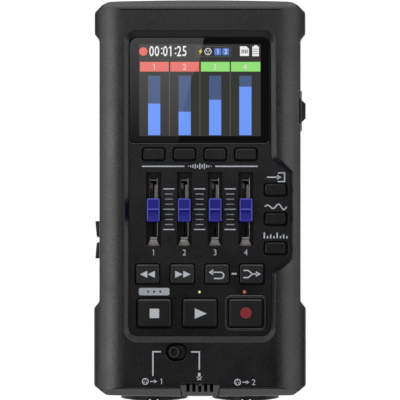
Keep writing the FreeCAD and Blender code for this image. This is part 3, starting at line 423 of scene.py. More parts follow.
    # painted shade: the stretch of wall is painted darker, and made rougher
    if dull_and_shaded:
        at3 = node(nt, "ShaderNodeSeparateXYZ")
        nt.links.new(vec, at3.inputs[0])
        shaded_patch = math_node(nt, "MULTIPLY", remap(nt, at3.outputs["X"], dull_and_shaded[0], dull_and_shaded[0] + 0.001, 0.0, 1.0), remap(nt, at3.outputs["Y"], dull_and_shaded[1], dull_and_shaded[1] - 0.003, 0.0, 1.0))
        shaded_patch = math_node(nt, "MULTIPLY", shaded_patch, remap(nt, at3.outputs["Y"], dull_and_shaded[3], dull_and_shaded[3] + 0.005, 0.0, 1.0))
        shaded_patch = math_node(nt, "MULTIPLY", shaded_patch, remap(nt, at3.outputs["Z"], dull_and_shaded[2], dull_and_shaded[2] - 0.0002, 0.0, 1.0))
        shaded_patch = math_node(nt, "MULTIPLY", shaded_patch, math_node(nt, "GREATER_THAN", at3.outputs["Z"], 0.0394))
        shaded_patch = math_node(nt, "MULTIPLY", shaded_patch, math_node(nt, "LESS_THAN", at3.outputs["X"], 0.0315))
        r = math_node(nt, "ADD", r, math_node(nt, "MULTIPLY", shaded_patch, 0.5), clamp=True)
        col = mix_col(nt, shaded_patch, col, scaled(base, 0.3))
    nt.links.new(col, b.inputs["Base Color"])
    nt.links.new(r, b.inputs["Roughness"])
    b.inputs["Specular IOR Level"].default_value = spec
    bump = node(nt, "ShaderNodeBump", inputs={"Strength": 1.0, "Distance": grain})
    nt.links.new(fine, bump.inputs["Height"])
    if normal_in is not None:
        nt.links.new(normal_in, bump.inputs["Normal"])
    nt.links.new(bump.outputs["Normal"], b.inputs["Normal"])
    return m


def metal(name, base, rough=0.3, brush_axis=None, var=0.15, bump_d=0.000006, dark=None):
    """Sheet or turned metal with fine drawn lines and slight tarnish."""
    m, nt, b = material(name)
    vec = coords(nt)
    if brush_axis is not None:
        mp = node(nt, "ShaderNodeMapping")
        sc = [900.0, 900.0, 900.0]
        sc[brush_axis] = 40.0
        mp.inputs["Scale"].default_value = sc
        nt.links.new(vec, mp.inputs["Vector"])
        lines = noise(nt, mp.outputs["Vector"], 4.0, 3.0, 0.6)
    else:
        lines = noise(nt, vec, 2500.0, 3.0, 0.6)
    stain = noise(nt, vec, 260.0, 3.0, 0.6, 0.5)
    col = mix_col(nt, remap(nt, lines, 0.3, 0.7, 0.0, 1.0), scaled(base, 1.0 - var), scaled(base, 1.0 + var * 0.5))
    col = mix_col(nt, remap(nt, stain, 0.5, 0.8, 0.0, 0.55), col, dark or scaled(base, 0.5))
    nt.links.new(col, b.inputs["Base Color"])
    b.inputs["Metallic"].default_value = 1.0
    nt.links.new(remap(nt, stain, 0.3, 0.75, rough - 0.06, rough + 0.14), b.inputs["Roughness"])
    bump = node(nt, "ShaderNodeBump", inputs={"Strength": 1.0, "Distance": bump_d})
    nt.links.new(lines, bump.inputs["Height"])
    nt.links.new(bump.outputs["Normal"], b.inputs["Normal"])
    return m


def ink(name, base, rough=0.55, var=0.06, glow=0.0):
    """Screen print: slightly uneven cover and gloss."""
    m, nt, b = material(name)
    vec = coords(nt)
    n1 = noise(nt, vec, 5200.0, 2.0, 0.6)
    n2 = noise(nt, vec, 700.0, 2.0, 0.5)
    col = mix_col(nt, remap(nt, n1, 0.3, 0.7, 0.0, 1.0), scaled(base, 1 - var), scaled(base, 1 + var * 0.6))
    nt.links.new(col, b.inputs["Base Color"])
    nt.links.new(remap(nt, n2, 0.3, 0.7, rough - 0.06, rough + 0.06), b.inputs["Roughness"])
    bump = node(nt, "ShaderNodeBump", inputs={"Strength": 0.6, "Distance": 0.000004})
    nt.links.new(n1, bump.inputs["Height"])
    nt.links.new(bump.outputs["Normal"], b.inputs["Normal"])
    return m


def lit(name, base, strength=0.93, body=0.001):
    """Picture element of the display: fine dot rows in a lit colour."""
    m, nt, b = material(name)
    vec = coords(nt)
    sep = node(nt, "ShaderNodeSeparateXYZ")
    nt.links.new(vec, sep.inputs[0])
    rows = math_node(nt, "SINE", math_node(nt, "MULTIPLY", sep.outputs["Y"], 2 * math.pi / 0.000153))
    cols = math_node(nt, "SINE", math_node(nt, "MULTIPLY", sep.outputs["X"], 2 * math.pi / 0.000153))
    grid = math_node(nt, "MULTIPLY", rows, cols)
    cloud = noise(nt, vec, 60.0, 2.0, 0.5)
    col = mix_col(nt, remap(nt, grid, -1.0, 1.0, 0.0, 1.0), scaled(base, 0.93), scaled(base, 1.07))
    col = mix_col(nt, remap(nt, cloud, 0.3, 0.7, 0.0, 1.0), col, scaled(base, 1.03))
    nt.links.new(col, b.inputs["Emission Color"])
    b.inputs["Emission Strength"].default_value = strength
    b.inputs["Base Color"].default_value = scaled((1, 1, 1, 1), body)
    b.inputs["Roughness"].default_value = 0.0
    b.inputs["IOR"].default_value = 1.5
    return m


M = {}
# shell: paler edges partly wear, partly painted highlight; a stretch of the recess wall at the lower right is duller
# and painted darker, a painted shade
M["shell"] = plastic("shell_plastic", (0.0042, 0.0042, 0.0045, 1), rough=0.275, grain=0.000018, grain_scale=2700, var=0.2, spec=0.5,
                     edge=(0.012, 0.012, 0.013, 1), edge_r=0.00018, dull_and_shaded=(0.0235, -0.0285, 0.04095, -0.053))
M["grille"] = plastic("grille_plastic", (0.0046, 0.0046, 0.0049, 1), rough=0.3, grain=0.000018, grain_scale=2600, var=0.2,
                      edge=(0.014, 0.014, 0.015, 1), edge_r=0.0001)
# panel: painted shade on the walls of the key openings below its face, and painted shading that darkens it towards its
# lower end
M["panel"] = plastic("panel_plastic", (0.0040, 0.0040, 0.0047, 1), rough=0.275, grain=0.000013, grain_scale=3000, var=0.22, spec=0.42,
                     edge=(0.009, 0.009, 0.010, 1), edge_r=0.0001, deep=(0.03840, 0.03857), deep_y=0.0222,
                     fade=(-0.034, 0.35, -0.018, 1.9))
# keys: painted shade on their sides below the panel's face, and a painted highlight on rounded edges facing +Y
M["key"] = plastic("key_plastic", (0.0052, 0.0052, 0.0057, 1), rough=0.34, grain=0.00001, grain_scale=3800, var=0.12, spec=0.5,
                   edge=(0.02, 0.02, 0.0215, 1), edge_r=0.00012, round_r=0.00014, deep=(0.0381, 0.0386),
                   facing=((0.08, 0.08, 0.083, 1), False))
M["key_fine"] = plastic("key_plastic_fine", (0.0048, 0.0048, 0.0053, 1), rough=0.275, grain=0.00001, grain_scale=3800, var=0.12, spec=0.45,
                        edge=(0.018, 0.018, 0.0195, 1), edge_r=0.00012, round_r=0.00012, deep=(0.0381, 0.0386),
                        facing=((0.026, 0.026, 0.027, 1), False))
M["key_large"] = plastic("key_plastic_large", (0.0046, 0.0046, 0.0050, 1), rough=0.34, grain=0.00001, grain_scale=3800, var=0.12, spec=0.36,
                         edge=(0.02, 0.02, 0.0215, 1), edge_r=0.00012, round_r=0.00014, deep=(0.0381, 0.0386),
                         facing=((0.065, 0.065, 0.068, 1), False))
M["side_key"] = plastic("side_key_plastic", (0.0052, 0.0052, 0.0057, 1), rough=0.34, grain=0.00001, grain_scale=3800, var=0.12, spec=0.5,
                        edge=(0.02, 0.02, 0.0215, 1), edge_r=0.00012, round_r=0.00014)
# record rim bead: a paler tone than the panel, and a painted highlight on its sides facing along Y
M["rim"] = plastic("rim_painted_highlight", (0.008, 0.008, 0.0086, 1), rough=0.36, grain=0.000008, grain_scale=3200, var=0.15, spec=0.32,
                   facing=((0.12, 0.12, 0.124, 1), True))
M["black"] = plastic("black_plastic", (0.0055, 0.0055, 0.006, 1), rough=0.45, grain=0.000012, grain_scale=2800, var=0.15,
                     edge=(0.014, 0.014, 0.015, 1), edge_r=0.00012)
M["slot_black"] = plastic("slot_black", (0.0034, 0.0034, 0.0036, 1), rough=0.6, grain=0.00001, grain_scale=2800, var=0.15, spec=0.22)
M["jack"] = plastic("jack_plastic", (0.0036, 0.0036, 0.0039, 1), rough=0.4, grain=0.00001, grain_scale=1800, var=0.15,
                    edge=(0.012, 0.012, 0.013, 1), edge_r=0.00015, round_r=0.00015, spec=0.2)
# fader caps: painted highlights on the 45-degree bevels and the ridge's top, painted shade on the slope below the ridge
M["blue"] = plastic("fader_blue", (0.0145, 0.0135, 0.28, 1), rough=0.42, grain=0.000008, grain_scale=3600, var=0.06, spec=0.3,
                    round_r=0.00012, smudge=0.15, slope=(0.068, 0.070, 0.42, 1), crest=(0.04462, (0.118, 0.108, 0.60, 1)), hollow=(0.0065, 0.008, 0.24, 1))
M["rubber"] = plastic("foot_rubber", (0.012, 0.012, 0.0125, 1), rough=0.82, grain=0.00003, grain_scale=1500, var=0.25, spec=0.25)
M["foam"] = plastic("foam", (0.01, 0.01, 0.0105, 1), rough=0.95, grain=0.0002, grain_scale=900, var=0.5, spec=0.1)
M["rail"] = metal("rail_steel", (0.21, 0.198, 0.18, 1), rough=0.42, brush_axis=1)
# painted shade: the cover steel in a near-black tone, where it lies in shadow
M["rail_dark"] = metal("rail_painted_shade", (0.017, 0.0165, 0.0155, 1), rough=0.42, brush_axis=1, var=0.3)
# painted highlight: the same steel much paler, on edges that catch the light
M["rail_bright"] = metal("rail_painted_highlight", (0.42, 0.40, 0.375, 1), rough=0.4, brush_axis=0)
# painted light: the same steel paler, on the ear at the lower end
M["rail_ear_painted_light"] = metal("rail_ear_painted_light", (0.36, 0.342, 0.315, 1), rough=0.42, brush_axis=1)
# painted half light: the same steel in a middle tone, on parts half in shadow
M["rail_painted_half_light"] = metal("rail_painted_half_light", (0.10, 0.094, 0.087, 1), rough=0.42, brush_axis=1)
M["carbon"] = metal("carbon_strip", (0.02, 0.02, 0.02, 1), rough=0.5)
M["steel"] = metal("switch_steel", (0.6, 0.6, 0.61, 1), rough=0.3)
M["contact"] = metal("contact_nickel", (0.66, 0.64, 0.58, 1), rough=0.24)
M["gold"] = metal("contact_gold", (0.83, 0.62, 0.25, 1), rough=0.25)
M["brass"] = metal("insert_brass", (0.62, 0.46, 0.2, 1), rough=0.3)
M["screw"] = metal("screw_black", (0.07, 0.07, 0.075, 1), rough=0.38)
M["white_ink"] = ink("white_ink", (0.56, 0.6, 0.64, 1))
M["pill_ink"] = ink("pill_ink", (0.42, 0.46, 0.5, 1))
M["dark_ink"] = ink("dark_ink", (0.012, 0.012, 0.013, 1))
M["red_ink"] = ink("red_ink", (0.25, 0.007, 0.012, 1))
# painted light: the record light's red glow on the panel
M["painted_led_halo"] = ink("painted_led_halo", (0.09, 0.007, 0.005, 1))
M["side_ink"] = ink("side_ink", (0.22, 0.23, 0.24, 1))


def board_material():
    m, nt, b = material("board_laminate")
    vec = coords(nt)
    weave = node(nt, "ShaderNodeTexBrick", inputs={"Scale": 900.0, "Mortar Size": 0.03, "Color1": (0.006, 0.07, 0.028, 1), "Color2": (0.005, 0.055, 0.022, 1), "Mortar": (0.004, 0.035, 0.015, 1)})
    nt.links.new(vec, weave.inputs["Vector"])
    tracks = node(nt, "ShaderNodeTexVoronoi", feature="DISTANCE_TO_EDGE", distance="CHEBYCHEV", inputs={"Scale": 160.0})
    nt.links.new(vec, tracks.inputs["Vector"])
    col = mix_col(nt, remap(nt, tracks.outputs["Distance"], 0.02, 0.06, 0.5, 0.0), weave.outputs["Color"], (0.02, 0.16, 0.06, 1))
    nt.links.new(col, b.inputs["Base Color"])
    b.inputs["Roughness"].default_value = 0.32
    bump = node(nt, "ShaderNodeBump", inputs={"Strength": 0.5, "Distance": 0.00002})
    nt.links.new(tracks.outputs["Distance"], bump.inputs["Height"])
    nt.links.new(bump.outputs["Normal"], b.inputs["Normal"])
    return m


def glass_material():
    """Black display glass, bonded to the picture: very smooth, with a trace of smear in its tone."""
    m, nt, b = material("lens_glass")
    vec = coords(nt)
    smear = noise(nt, vec, 90.0, 3.0, 0.6, 0.8)
    nt.links.new(mix_col(nt, smear, (0.0034, 0.0034, 0.0040, 1), (0.0042, 0.0042, 0.0048, 1)), b.inputs["Base Color"])
    b.inputs["Roughness"].default_value = 0.0
    b.inputs["IOR"].default_value = 1.5
    return m


M["board"] = board_material()
M["lens"] = glass_material()
M["cell_wrap"] = plastic("cell_wrap", (0.03, 0.032, 0.036, 1), rough=0.24, grain=0.000003, grain_scale=1500, var=0.1)
M["cell_band"] = metal("cell_band", (0.50, 0.30, 0.10, 1), rough=0.3)
M["cell_line"] = plastic("cell_line", (0.5, 0.5, 0.5, 1), rough=0.3, grain=0.000003, grain_scale=1500, var=0.05)
M["gap"] = plastic("gap_shade", (0.0007, 0.0007, 0.0008, 1), rough=0.85, grain=0.000004, grain_scale=3000, var=0.2, spec=0.03)
M["knob"] = plastic("knob_plastic", (0.0026, 0.0026, 0.0029, 1), rough=0.45, grain=0.000006, grain_scale=3200, var=0.15, spec=0.14)
# painted highlight: the selector knob's rim ring in a pale colour
M["knob_ring"] = plastic("knob_ring_painted_highlight", (0.042, 0.042, 0.043, 1), rough=0.42, grain=0.000005, grain_scale=3200, var=0.12, spec=0.5)
# painted shade: the selector's dish, darker than the case
M["dish"] = plastic("dish_painted_shade", (0.0014, 0.0014, 0.0015, 1), rough=0.5, grain=0.000008, grain_scale=3200, var=0.2, spec=0.12)
# painted highlight along the dish's lower edge
M["dish_edge"] = plastic("dish_edge_painted_highlight", (0.032, 0.032, 0.033, 1), rough=0.45, grain=0.000005, grain_scale=3200, var=0.12, spec=0.35)
# painted highlight: pale colour of thin rounded edges on the panel and the recess
M["edge_line"] = plastic("edge_painted_highlight", (0.046, 0.046, 0.048, 1), rough=0.4, grain=0.000005, grain_scale=3200, var=0.12, spec=0.5)
M["pipe"] = plastic("light_pipe", (0.3, 0.32, 0.25, 1), rough=0.3, grain=0.000004, grain_scale=2000, var=0.05)
M["mask"] = plastic("lens_mask", (0.0008, 0.0008, 0.0010, 1), rough=0.45, grain=0.000002, grain_scale=2500, var=0.1, spec=0.05)

CAD_LOOK = {
    "front_shell": "shell", "back_shell": "shell", "battery_door": "shell", "card_cover": "shell", "mic_grille": "grille", "control_panel": "panel",
    "display_lens": "lens", "lcd_module": "mask", "lcd_support": "foam", "main_board": "board", "jack_board": "board", "switch_board": "board",
    "fader_housings": "slot_black", "fader_rails": "rail_dark", "key_switches": "steel", "status_lights": "pipe", "input_selector": "knob",
    "selector_switch": "black", "mic_capsule": "steel", "jack_housing_a": "jack", "jack_housing_b": "jack", "jack_insert_a": "jack",
    "jack_insert_b": "jack", "jack_pins": "contact", "phone_jack": "jack", "line_jack": "jack", "usb_port": "steel", "card_socket": "steel",
    "power_bezel": "black", "power_slider": "side_key", "power_switch": "black", "battery_cells": "cell_wrap", "battery_contacts": "contact",
    "rubber_feet": "rubber", "case_screws": "screw", "tripod_insert": "brass", "volume_up_button": "side_key", "volume_down_button": "side_key",
}
for nm, ob in NODES.items():
    if nm.startswith("fader_cap"):
        look = "blue"
    elif nm.startswith("fader_lever"):
        look = "slot_black"
    elif nm in CAD_LOOK:
        look = CAD_LOOK[nm]
    elif nm.startswith("track_button") or nm in ("input_button", "effect_button", "rhythm_button"):
        look = "key_fine"
    elif nm in ("stop_button", "play_button", "record_button"):
        look = "key_large"
    else:
        look = "key"
    ob.data.materials.clear()
    ob.data.materials.append(M[look])

# ------------------------------------------------------------------ display picture
Z_UI = 38.402
UI = {
    "bg": lit("ui_ground", lin("#383836")), "head": lit("ui_head", lin("#33322f")), "red": lit("ui_red", lin("#ec776d")), "green": lit("ui_green", lin("#97e57c")),
    "bar": lit("ui_bar", lin("#739fff")), "dim": lit("ui_dim", lin("#4c5f86")), "white": lit("ui_white", lin("#f4f4f4")), "black": lit("ui_black", lin("#141414")),
    "yellow": lit("ui_yellow", lin("#e8d23c")), "tile": lit("ui_tile", lin("#5b84d8")), "line": lit("ui_line", lin("#5c5c5a")), "dot": lit("ui_dot", lin("#ea6f66")),
    "tint": lit("ui_tint", lin("#5a5a5a")), "pale": lit("ui_pale", lin("#f3dcd8")),
}


def ui_loops(name, groups, level, mat):
    """Flat picture elements at one level above the display's glass, in image pixels."""
    bm = bmesh.new()
    z = Z_UI + 0.02 * level
    for loops in groups:
        add_prism(bm, [[at(x, y, z) for x, y in lp] for lp in loops], z - 0.012, z + 0.008)
    return new_mesh(name, bm, "case", UI[mat])


def px_rect(x0, y0, x1, y1, r=0.0):
    return rect(x0, y0, x1, y1, r)


def ui_text(name, items, level, mat, height, width_scale=1.0, weight=0.0):
    bm = bmesh.new()
    z = Z_UI + 0.02 * level
    k = FACE_SCALE * (CAM_Z - z) / (CAM_Z - 41.0)
    for text, px, py in items:
        g = glyph_loops(text, height * k, width_scale, weight)
        x, y = at(px, py, z)
        extrude_flat(g, bm, x, y, z - 0.012, z + 0.008)
        g.free()
    return new_mesh(name, bm, "case", UI[mat])


ui_loops("screen_ground", [[px_rect(139.2, 44.1, 260.7, 136.1)]], 0, "bg")
ui_loops("screen_track_heads_red", [[px_rect(139.9, 61.9, 168.8, 71.5)], [px_rect(170.3, 61.9, 199.2, 71.5)]], 1, "red")
ui_loops("screen_track_heads_green", [[px_rect(200.9, 61.9, 229.7, 71.5)], [px_rect(231.0, 61.9, 260.3, 71.5)]], 1, "green")
ui_loops("screen_dividers", [[px_rect(x - 0.35, 72.0, x + 0.35, 136.0)] for x in (169.3, 199.9, 230.2)], 1, "line")
BARS = [(148.1, 160.3, 103.6), (178.6, 190.8, 111.8), (209.1, 221.2, 99.8), (239.3, 251.5, 86.7)]
ui_loops("screen_bars_dim", [[px_rect(a, 75.7, b, t)] for a, b, t in BARS], 1, "dim")
ui_loops("screen_bars_lit", [[px_rect(a, t, b, 135.2)] for a, b, t in BARS], 1, "bar")
ui_text("screen_track_numerals", [("1", 154.2, 66.8), ("2", 184.6, 66.8), ("3", 214.8, 66.8), ("4", 245.2, 66.8)], 2, "pale", 5.8, 0.9, -0.006)
ui_loops("screen_dot", [[disc(143.3, 51.5, 4.2, 36)]], 1, "dot")
glyphs, gx = [], 151.55
for ch in "00:01:25":
    if ch == ":":
        glyphs.append((ch, gx - 0.55, 51.1))
        gx += 2.95
    else:
        glyphs.append((ch, gx, 51.1))
        gx += 5.4
for nm, level, mat, weight, dot in (("screen_counter_shade", 1, "black", 0.085, 0.5), ("screen_counter", 2, "white", 0.012, 0.3)):
    bmc = bmesh.new()
    zc = Z_UI + 0.02 * level
    kc = FACE_SCALE * (CAM_Z - zc) / (CAM_Z - 41.0)
    for ch, px, py in glyphs:
        x, y = at(px, py, zc)
        if ch == ":":
            for dy in (-2.6, 2.3):
                cx, cy = at(px, py + dy, zc)
                add_prism(bmc, [rect(cx - dot, cy - dot, cx + dot, cy + dot)], zc - 0.012, zc + 0.008)
        else:
            g = glyph_loops(ch, (10.3 if mat == "white" else 11.6) * kc, 0.68 if mat == "white" else 0.73, weight)
            extrude_flat(g, bmc, x, y, zc - 0.012, zc + 0.008)
            g.free()
    new_mesh(nm, bmc, "case", UI[mat])
frame_loops = [px_rect(196.6, 46.4, 231.1, 56.5, 2.0), px_rect(197.1, 46.9, 230.6, 56.0, 1.6)]
ui_loops("screen_input_frame", [frame_loops], 1, "line")
ui_loops("screen_bolt", [[[(201.6, 48.4), (198.4, 52.0), (200.2, 52.0), (199.2, 55.0), (202.6, 50.9), (200.8, 50.9)]]], 1, "yellow")
sock = [[disc(208.0, 51.6, 3.5, 28), disc(208.0, 51.6, 2.85, 28)]]
sock += [[disc(208.0 + 1.5 * math.cos(math.radians(a)), 51.6 + 1.5 * math.sin(math.radians(a)), 0.6, 12)] for a in (-150, -30, 90)]
ui_loops("screen_socket_sign", sock, 1, "white")
ui_loops("screen_tiles", [[px_rect(214.4, 48.2, 221.2, 55.1, 1.2)], [px_rect(222.3, 48.2, 229.1, 55.1, 1.2)]], 1, "tile")
ui_text("screen_tile_numerals", [("1", 217.9, 51.6), ("2", 225.8, 51.6)], 2, "white", 4.6, 0.95, -0.004)
card = [(240.0, 46.3), (246.4, 46.3), (248.9, 48.8), (248.9, 56.0), (240.0, 56.0)]
ui_loops("screen_card", [[card]], 1, "white")
ui_loops("screen_card_bars", [[px_rect(241.6 + 1.7 * i, 49.6, 242.5 + 1.7 * i, 53.4)] for i in range(4)], 2, "black")
ui_loops("screen_battery", [[[(254.0, 45.3), (257.2, 45.3), (257.2, 46.5), (258.9, 46.5), (258.9, 56.2), (252.3, 56.2), (252.3, 46.5), (254.0, 46.5)]]], 1, "white")
ui_loops("screen_battery_gaps", [[px_rect(253.0, 48.9 + 2.3 * i, 258.2, 49.5 + 2.3 * i)] for i in range(3)], 2, "tint")

# ------------------------------------------------------------------ prints on the panel and the case
Z_PANEL, Z_FACE = 38.6, 41.0
INK_T = 0.03


def print_piece(name, solids, z, body="case", mat="white_ink"):
    """solids: lists of loops in mm on the plane z."""
    bm = bmesh.new()
    for loops in solids:
        if isinstance(loops, bmesh.types.BMesh):
            continue
        add_prism(bm, loops, z - 0.02, z + INK_T)
    return new_mesh(name, bm, body, M[mat])


def px_loops(loops, z):
    return [[at(x, y, z) for x, y in lp] for lp in loops]


def print_px(name, groups, z, body="case", mat="white_ink"):
    return print_piece(name, [px_loops(g, z) for g in groups], z, body, mat)


def print_text(name, items, z, height_mm, body="case", mat="white_ink", width_scale=1.0):
    bm = bmesh.new()
    for text, x, y in items:
        g = glyph_loops(text, height_mm, width_scale, -0.004)
        extrude_flat(g, bm, x, y, z - 0.02, z + INK_T)
        g.free()
    return new_mesh(name, bm, body, M[mat])


print_px("print_track_line", [[px_rect(141.9, 165.7, 184.4, 166.95)], [px_rect(215.2, 165.7, 257.7, 166.95)]], Z_PANEL)
wave = [0.9, 2.0, 3.4, 4.9, 2.9, 5.9, 3.8, 5.4, 3.0, 2.1, 0.9]
print_px("print_wave_sign", [[px_rect(188.4 + 2.28 * i - 0.55, 166.3 - h / 2, 188.4 + 2.28 * i + 0.55, 166.3 + h / 2, 0.5)] for i, h in enumerate(wave)], Z_PANEL)
ticks, fine_ticks = [], []
for cx in (168.9, 199.6, 230.2):
    for i, y in enumerate((189.0, 194.1, 199.2, 204.3, 209.4, 214.5, 219.6, 224.6, 229.6)):
        w, t = (5.65, 0.52) if i % 4 == 0 else (4.0, 0.38)
        (ticks if i % 4 == 0 else fine_ticks).append([px_rect(cx - w, y - 0.1 - t, cx + w, y - 0.1 + t)])
print_px("print_ticks", ticks, Z_PANEL)
print_px("print_fine_ticks", fine_ticks, Z_PANEL, mat="pill_ink")
FADER_X = [-18.67, -6.30, 6.07, 18.44]
_, ny = at(200, 252.4, Z_PANEL)
print_text("print_fader_numerals", [(str(i + 1), x, ny) for i, x in enumerate(FADER_X)], Z_PANEL, 2.35, width_scale=0.92)
print_px("print_link_dash", [[px_rect(231.6, 272.9, 236.6, 274.6)]], Z_PANEL)
print_piece("print_pill", [[rect(-24.6, -38.35, -12.3, -35.35, 0.7), *[disc(x, -36.85, 0.42, 18)[::-1] for x in (-20.9, -18.45, -16.0)]]], Z_PANEL, mat="pill_ink")


def sign_input(cx, cy):
    return [stroke([(cx - 3.5, cy), (cx + 1.4, cy)], 0.5), [[(cx + 0.6, cy + 1.0), (cx + 2.4, cy), (cx + 0.6, cy - 1.0)]],
            stroke([(cx + 0.9, cy + 1.75), (cx + 3.6, cy + 1.75), (cx + 3.6, cy - 1.75), (cx + 0.9, cy - 1.75)], 0.5)]


def sign_effect(cx, cy):
    pts = [(cx - 4.4 + 8.8 * t / 40, cy + 1.3 * math.sin(2 * math.pi * 2 * t / 40) * (0.35 + 0.65 * t / 40)) for t in range(41)]
    return [stroke(pts, 0.5)]


def sign_rhythm(cx, cy):
    out = []
    for k, h in enumerate((1.9, 0.8, 1.3, 0.8, 1.9, 0.8, 1.3, 0.8)):
        x = cx - 4.55 + 1.3 * k
        out.append([rect(x - 0.28, cy - 1.25, x + 0.28, cy - 1.25 + h * 1.3, 0.26)])
    return out


for nm, fn, py in (("print_input_sign", sign_input, 177.2), ("print_effect_sign", sign_effect, 206.6), ("print_rhythm_sign", sign_rhythm, 235.4)):
    cx, cy = at(275.6, py, Z_PANEL)
    print_piece(nm, fn(cx, cy), Z_PANEL)

# key signs ride on their keys
print_px("sign_rewind", [[[(139.8, 274.3), (147.3, 270.8), (147.3, 277.8)]], [[(147.6, 274.3), (154.9, 270.8), (154.9, 277.8)]]], 39.6, "rewind_button")
print_px("sign_forward", [[[(190.7, 274.3), (183.2, 270.8), (183.2, 277.8)]], [[(182.8, 274.3), (175.2, 270.8), (175.2, 277.8)]]], 39.6, "forward_button")


def sign_undo(cx, cy):
    pts = [(cx - 2.2, cy + 0.9), (cx + 1.3, cy + 0.9)] + arc(cx + 1.3, cy - 0.35, 1.25, 90, -90, 12)[1:] + [(cx - 1.4, cy - 1.6)]
    return [stroke(pts, 0.5), [[(cx - 3.5, cy + 0.9), (cx - 1.7, cy + 2.1), (cx - 1.7, cy - 0.3)]]]


def sign_merge(cx, cy):
    a = [(cx - 3.4, cy + 1.45), (cx - 1.5, cy + 1.45), (cx + 0.1, cy + 0.1)]
    b = [(cx - 3.4, cy - 1.45), (cx - 1.5, cy - 1.45), (cx + 0.1, cy - 0.1)]
    return [stroke(a, 0.5), stroke(b, 0.5), stroke([(cx - 0.1, cy), (cx + 2.2, cy)], 0.5), [[(cx + 1.6, cy + 1.15), (cx + 3.6, cy), (cx + 1.6, cy - 1.15)]]]


cx, cy = at(217.4, 274.0, 39.6)
print_piece("sign_undo", sign_undo(cx, cy - 0.2), 39.6, "undo_button")
cx, cy = at(251.9, 274.0, 39.6)
print_piece("sign_merge", sign_merge(cx, cy), 39.6, "bounce_button")
print_px("sign_stop", [[px_rect(149.65, 308.7, 159.1, 318.1)]], 39.9, "stop_button")
print_px("sign_play", [[[(194.8, 308.4), (206.8, 313.6), (194.8, 318.8)]]], 39.9, "play_button")
cx, cy = at(245.9, 312.9, 39.9)
print_piece("sign_record", [[disc(cx, cy, 2.27, 44)]], 39.9, "record_button", "red_ink")

# selector lines and socket signs on the case
Zf = Z_FACE
print_px("print_selector_lines", [stroke([(160.9, 351.7), (152.9, 351.7), (152.9, 375.8)], 1.35), stroke([(191.2, 351.9), (199.3, 351.9), (199.3, 369.8)], 1.35)], Zf)


def sign_socket(cx, cy, r=1.35):
    out = [[disc(cx, cy, r, 32), disc(cx, cy, r - 0.36, 32)[::-1]]]
    for a in (90, 210, 330):
        out.append([disc(cx + 0.56 * math.cos(math.radians(a)), cy + 0.56 * math.sin(math.radians(a)), 0.24, 12)])
    return out


def sign_mic(cx, cy):
    out = [[rect(cx - 0.52, cy - 0.35, cx + 0.52, cy + 1.3, 0.5)]]
    out.append(stroke(arc(cx, cy + 0.1, 1.05, 200, 340, 14), 0.3))
    out.append([rect(cx - 0.15, cy - 1.35, cx + 0.15, cy - 0.85)])
    out.append([rect(cx - 0.8, cy - 1.6, cx + 0.8, cy - 1.32)])
    return out


for nm, px, py, digit in (("print_socket_a", 152.8, 381.4, "1"), ("print_socket_b", 245.0, 382.2, "2")):
    cx, cy = at(px, py, Zf)
    s = sign_socket(cx - 3.0, cy)
    s += [stroke([(cx - 1.1, cy), (cx + 0.9, cy)], 0.36), [[(cx + 0.5, cy + 0.75), (cx + 1.75, cy), (cx + 0.5, cy - 0.75)]]]
    print_piece(nm, s, Zf)
    print_text(nm + "_numeral", [(digit, cx + 3.5, cy)], Zf, 2.25)
cx, cy = at(199.2, 375.9, Zf)
print_piece("print_mic_sign", sign_mic(cx, cy), Zf)

# ------------------------------------------------------------------ indicator domes
def dome(name, x, y, r, z0, h, mat):
    bm = bmesh.new()
    prof = [(r, -0.5), (r, 0.0)] + [(r * math.cos(math.radians(a)), h * math.sin(math.radians(a))) for a in (20, 40, 60, 78)]
    rings = lathe(bm, prof, (x, y, z0), n=28)
    bm.faces.new(rings[-1])
    bm.faces.new(rings[0][::-1])
    return new_mesh(name, bm, "case", mat, smooth=True)


def glow(name, core, rim, strength, x, y):
    m, nt, b = material(name)
    vec = coords(nt)
    dist = node(nt, "ShaderNodeVectorMath", operation="DISTANCE")
    dist.inputs[1].default_value = (x * MM, y * MM, 38.7 * MM)
    nt.links.new(vec, dist.inputs[0])
    n1 = noise(nt, vec, 4000.0, 2.0, 0.5)
    fac = math_node(nt, "ADD", remap(nt, dist.outputs["Value"], 0.0001, 0.0006, 0.0, 1.0), remap(nt, n1, 0.3, 0.7, -0.06, 0.06), clamp=True)
    col = mix_col(nt, fac, core, rim)
    nt.links.new(col, b.inputs["Emission Color"])
    b.inputs["Emission Strength"].default_value = strength
    b.inputs["Base Color"].default_value = (0.012, 0.012, 0.012, 1)
    b.inputs["Roughness"].default_value = 0.4
    return m


dome("indicator_play", -0.2, -37.0, 0.48, 38.62, 0.3, glow("glow_green", (0.78, 1.0, 0.28, 1), (0.30, 0.62, 0.03, 1), 1.3, -0.2, -37.0))
dome("indicator_record", 17.9, -37.0, 0.48, 38.62, 0.3, glow("glow_red", (1.0, 0.14, 0.07, 1), (0.42, 0.012, 0.004, 1), 0.95, 17.9, -37.0))

# painted light: a dark-red ring around the record light stands in for its glow on the panel
print_piece("indicator_record_painted_halo", [[disc(17.9, -37.0, 0.9, 28), disc(17.9, -37.0, 0.49, 28)[::-1]]], Z_PANEL, mat="painted_led_halo")

# ------------------------------------------------------------------ slide potentiometers: stamped covers seen through the slots, with light and shade painted as tones of one steel
RAIL_MATS = ("rail_dark", "rail", "rail_bright", "carbon", "rail_ear_painted_light", "rail_painted_half_light")


def yz_prism(bm, pts, x0, x1, mat_index=0):
    """Polygon of (y, z) points pushed along X."""
    return add_prism(bm, [pts], x0, x1, mat_index, to3d=lambda u, v, w: (w, u, v))


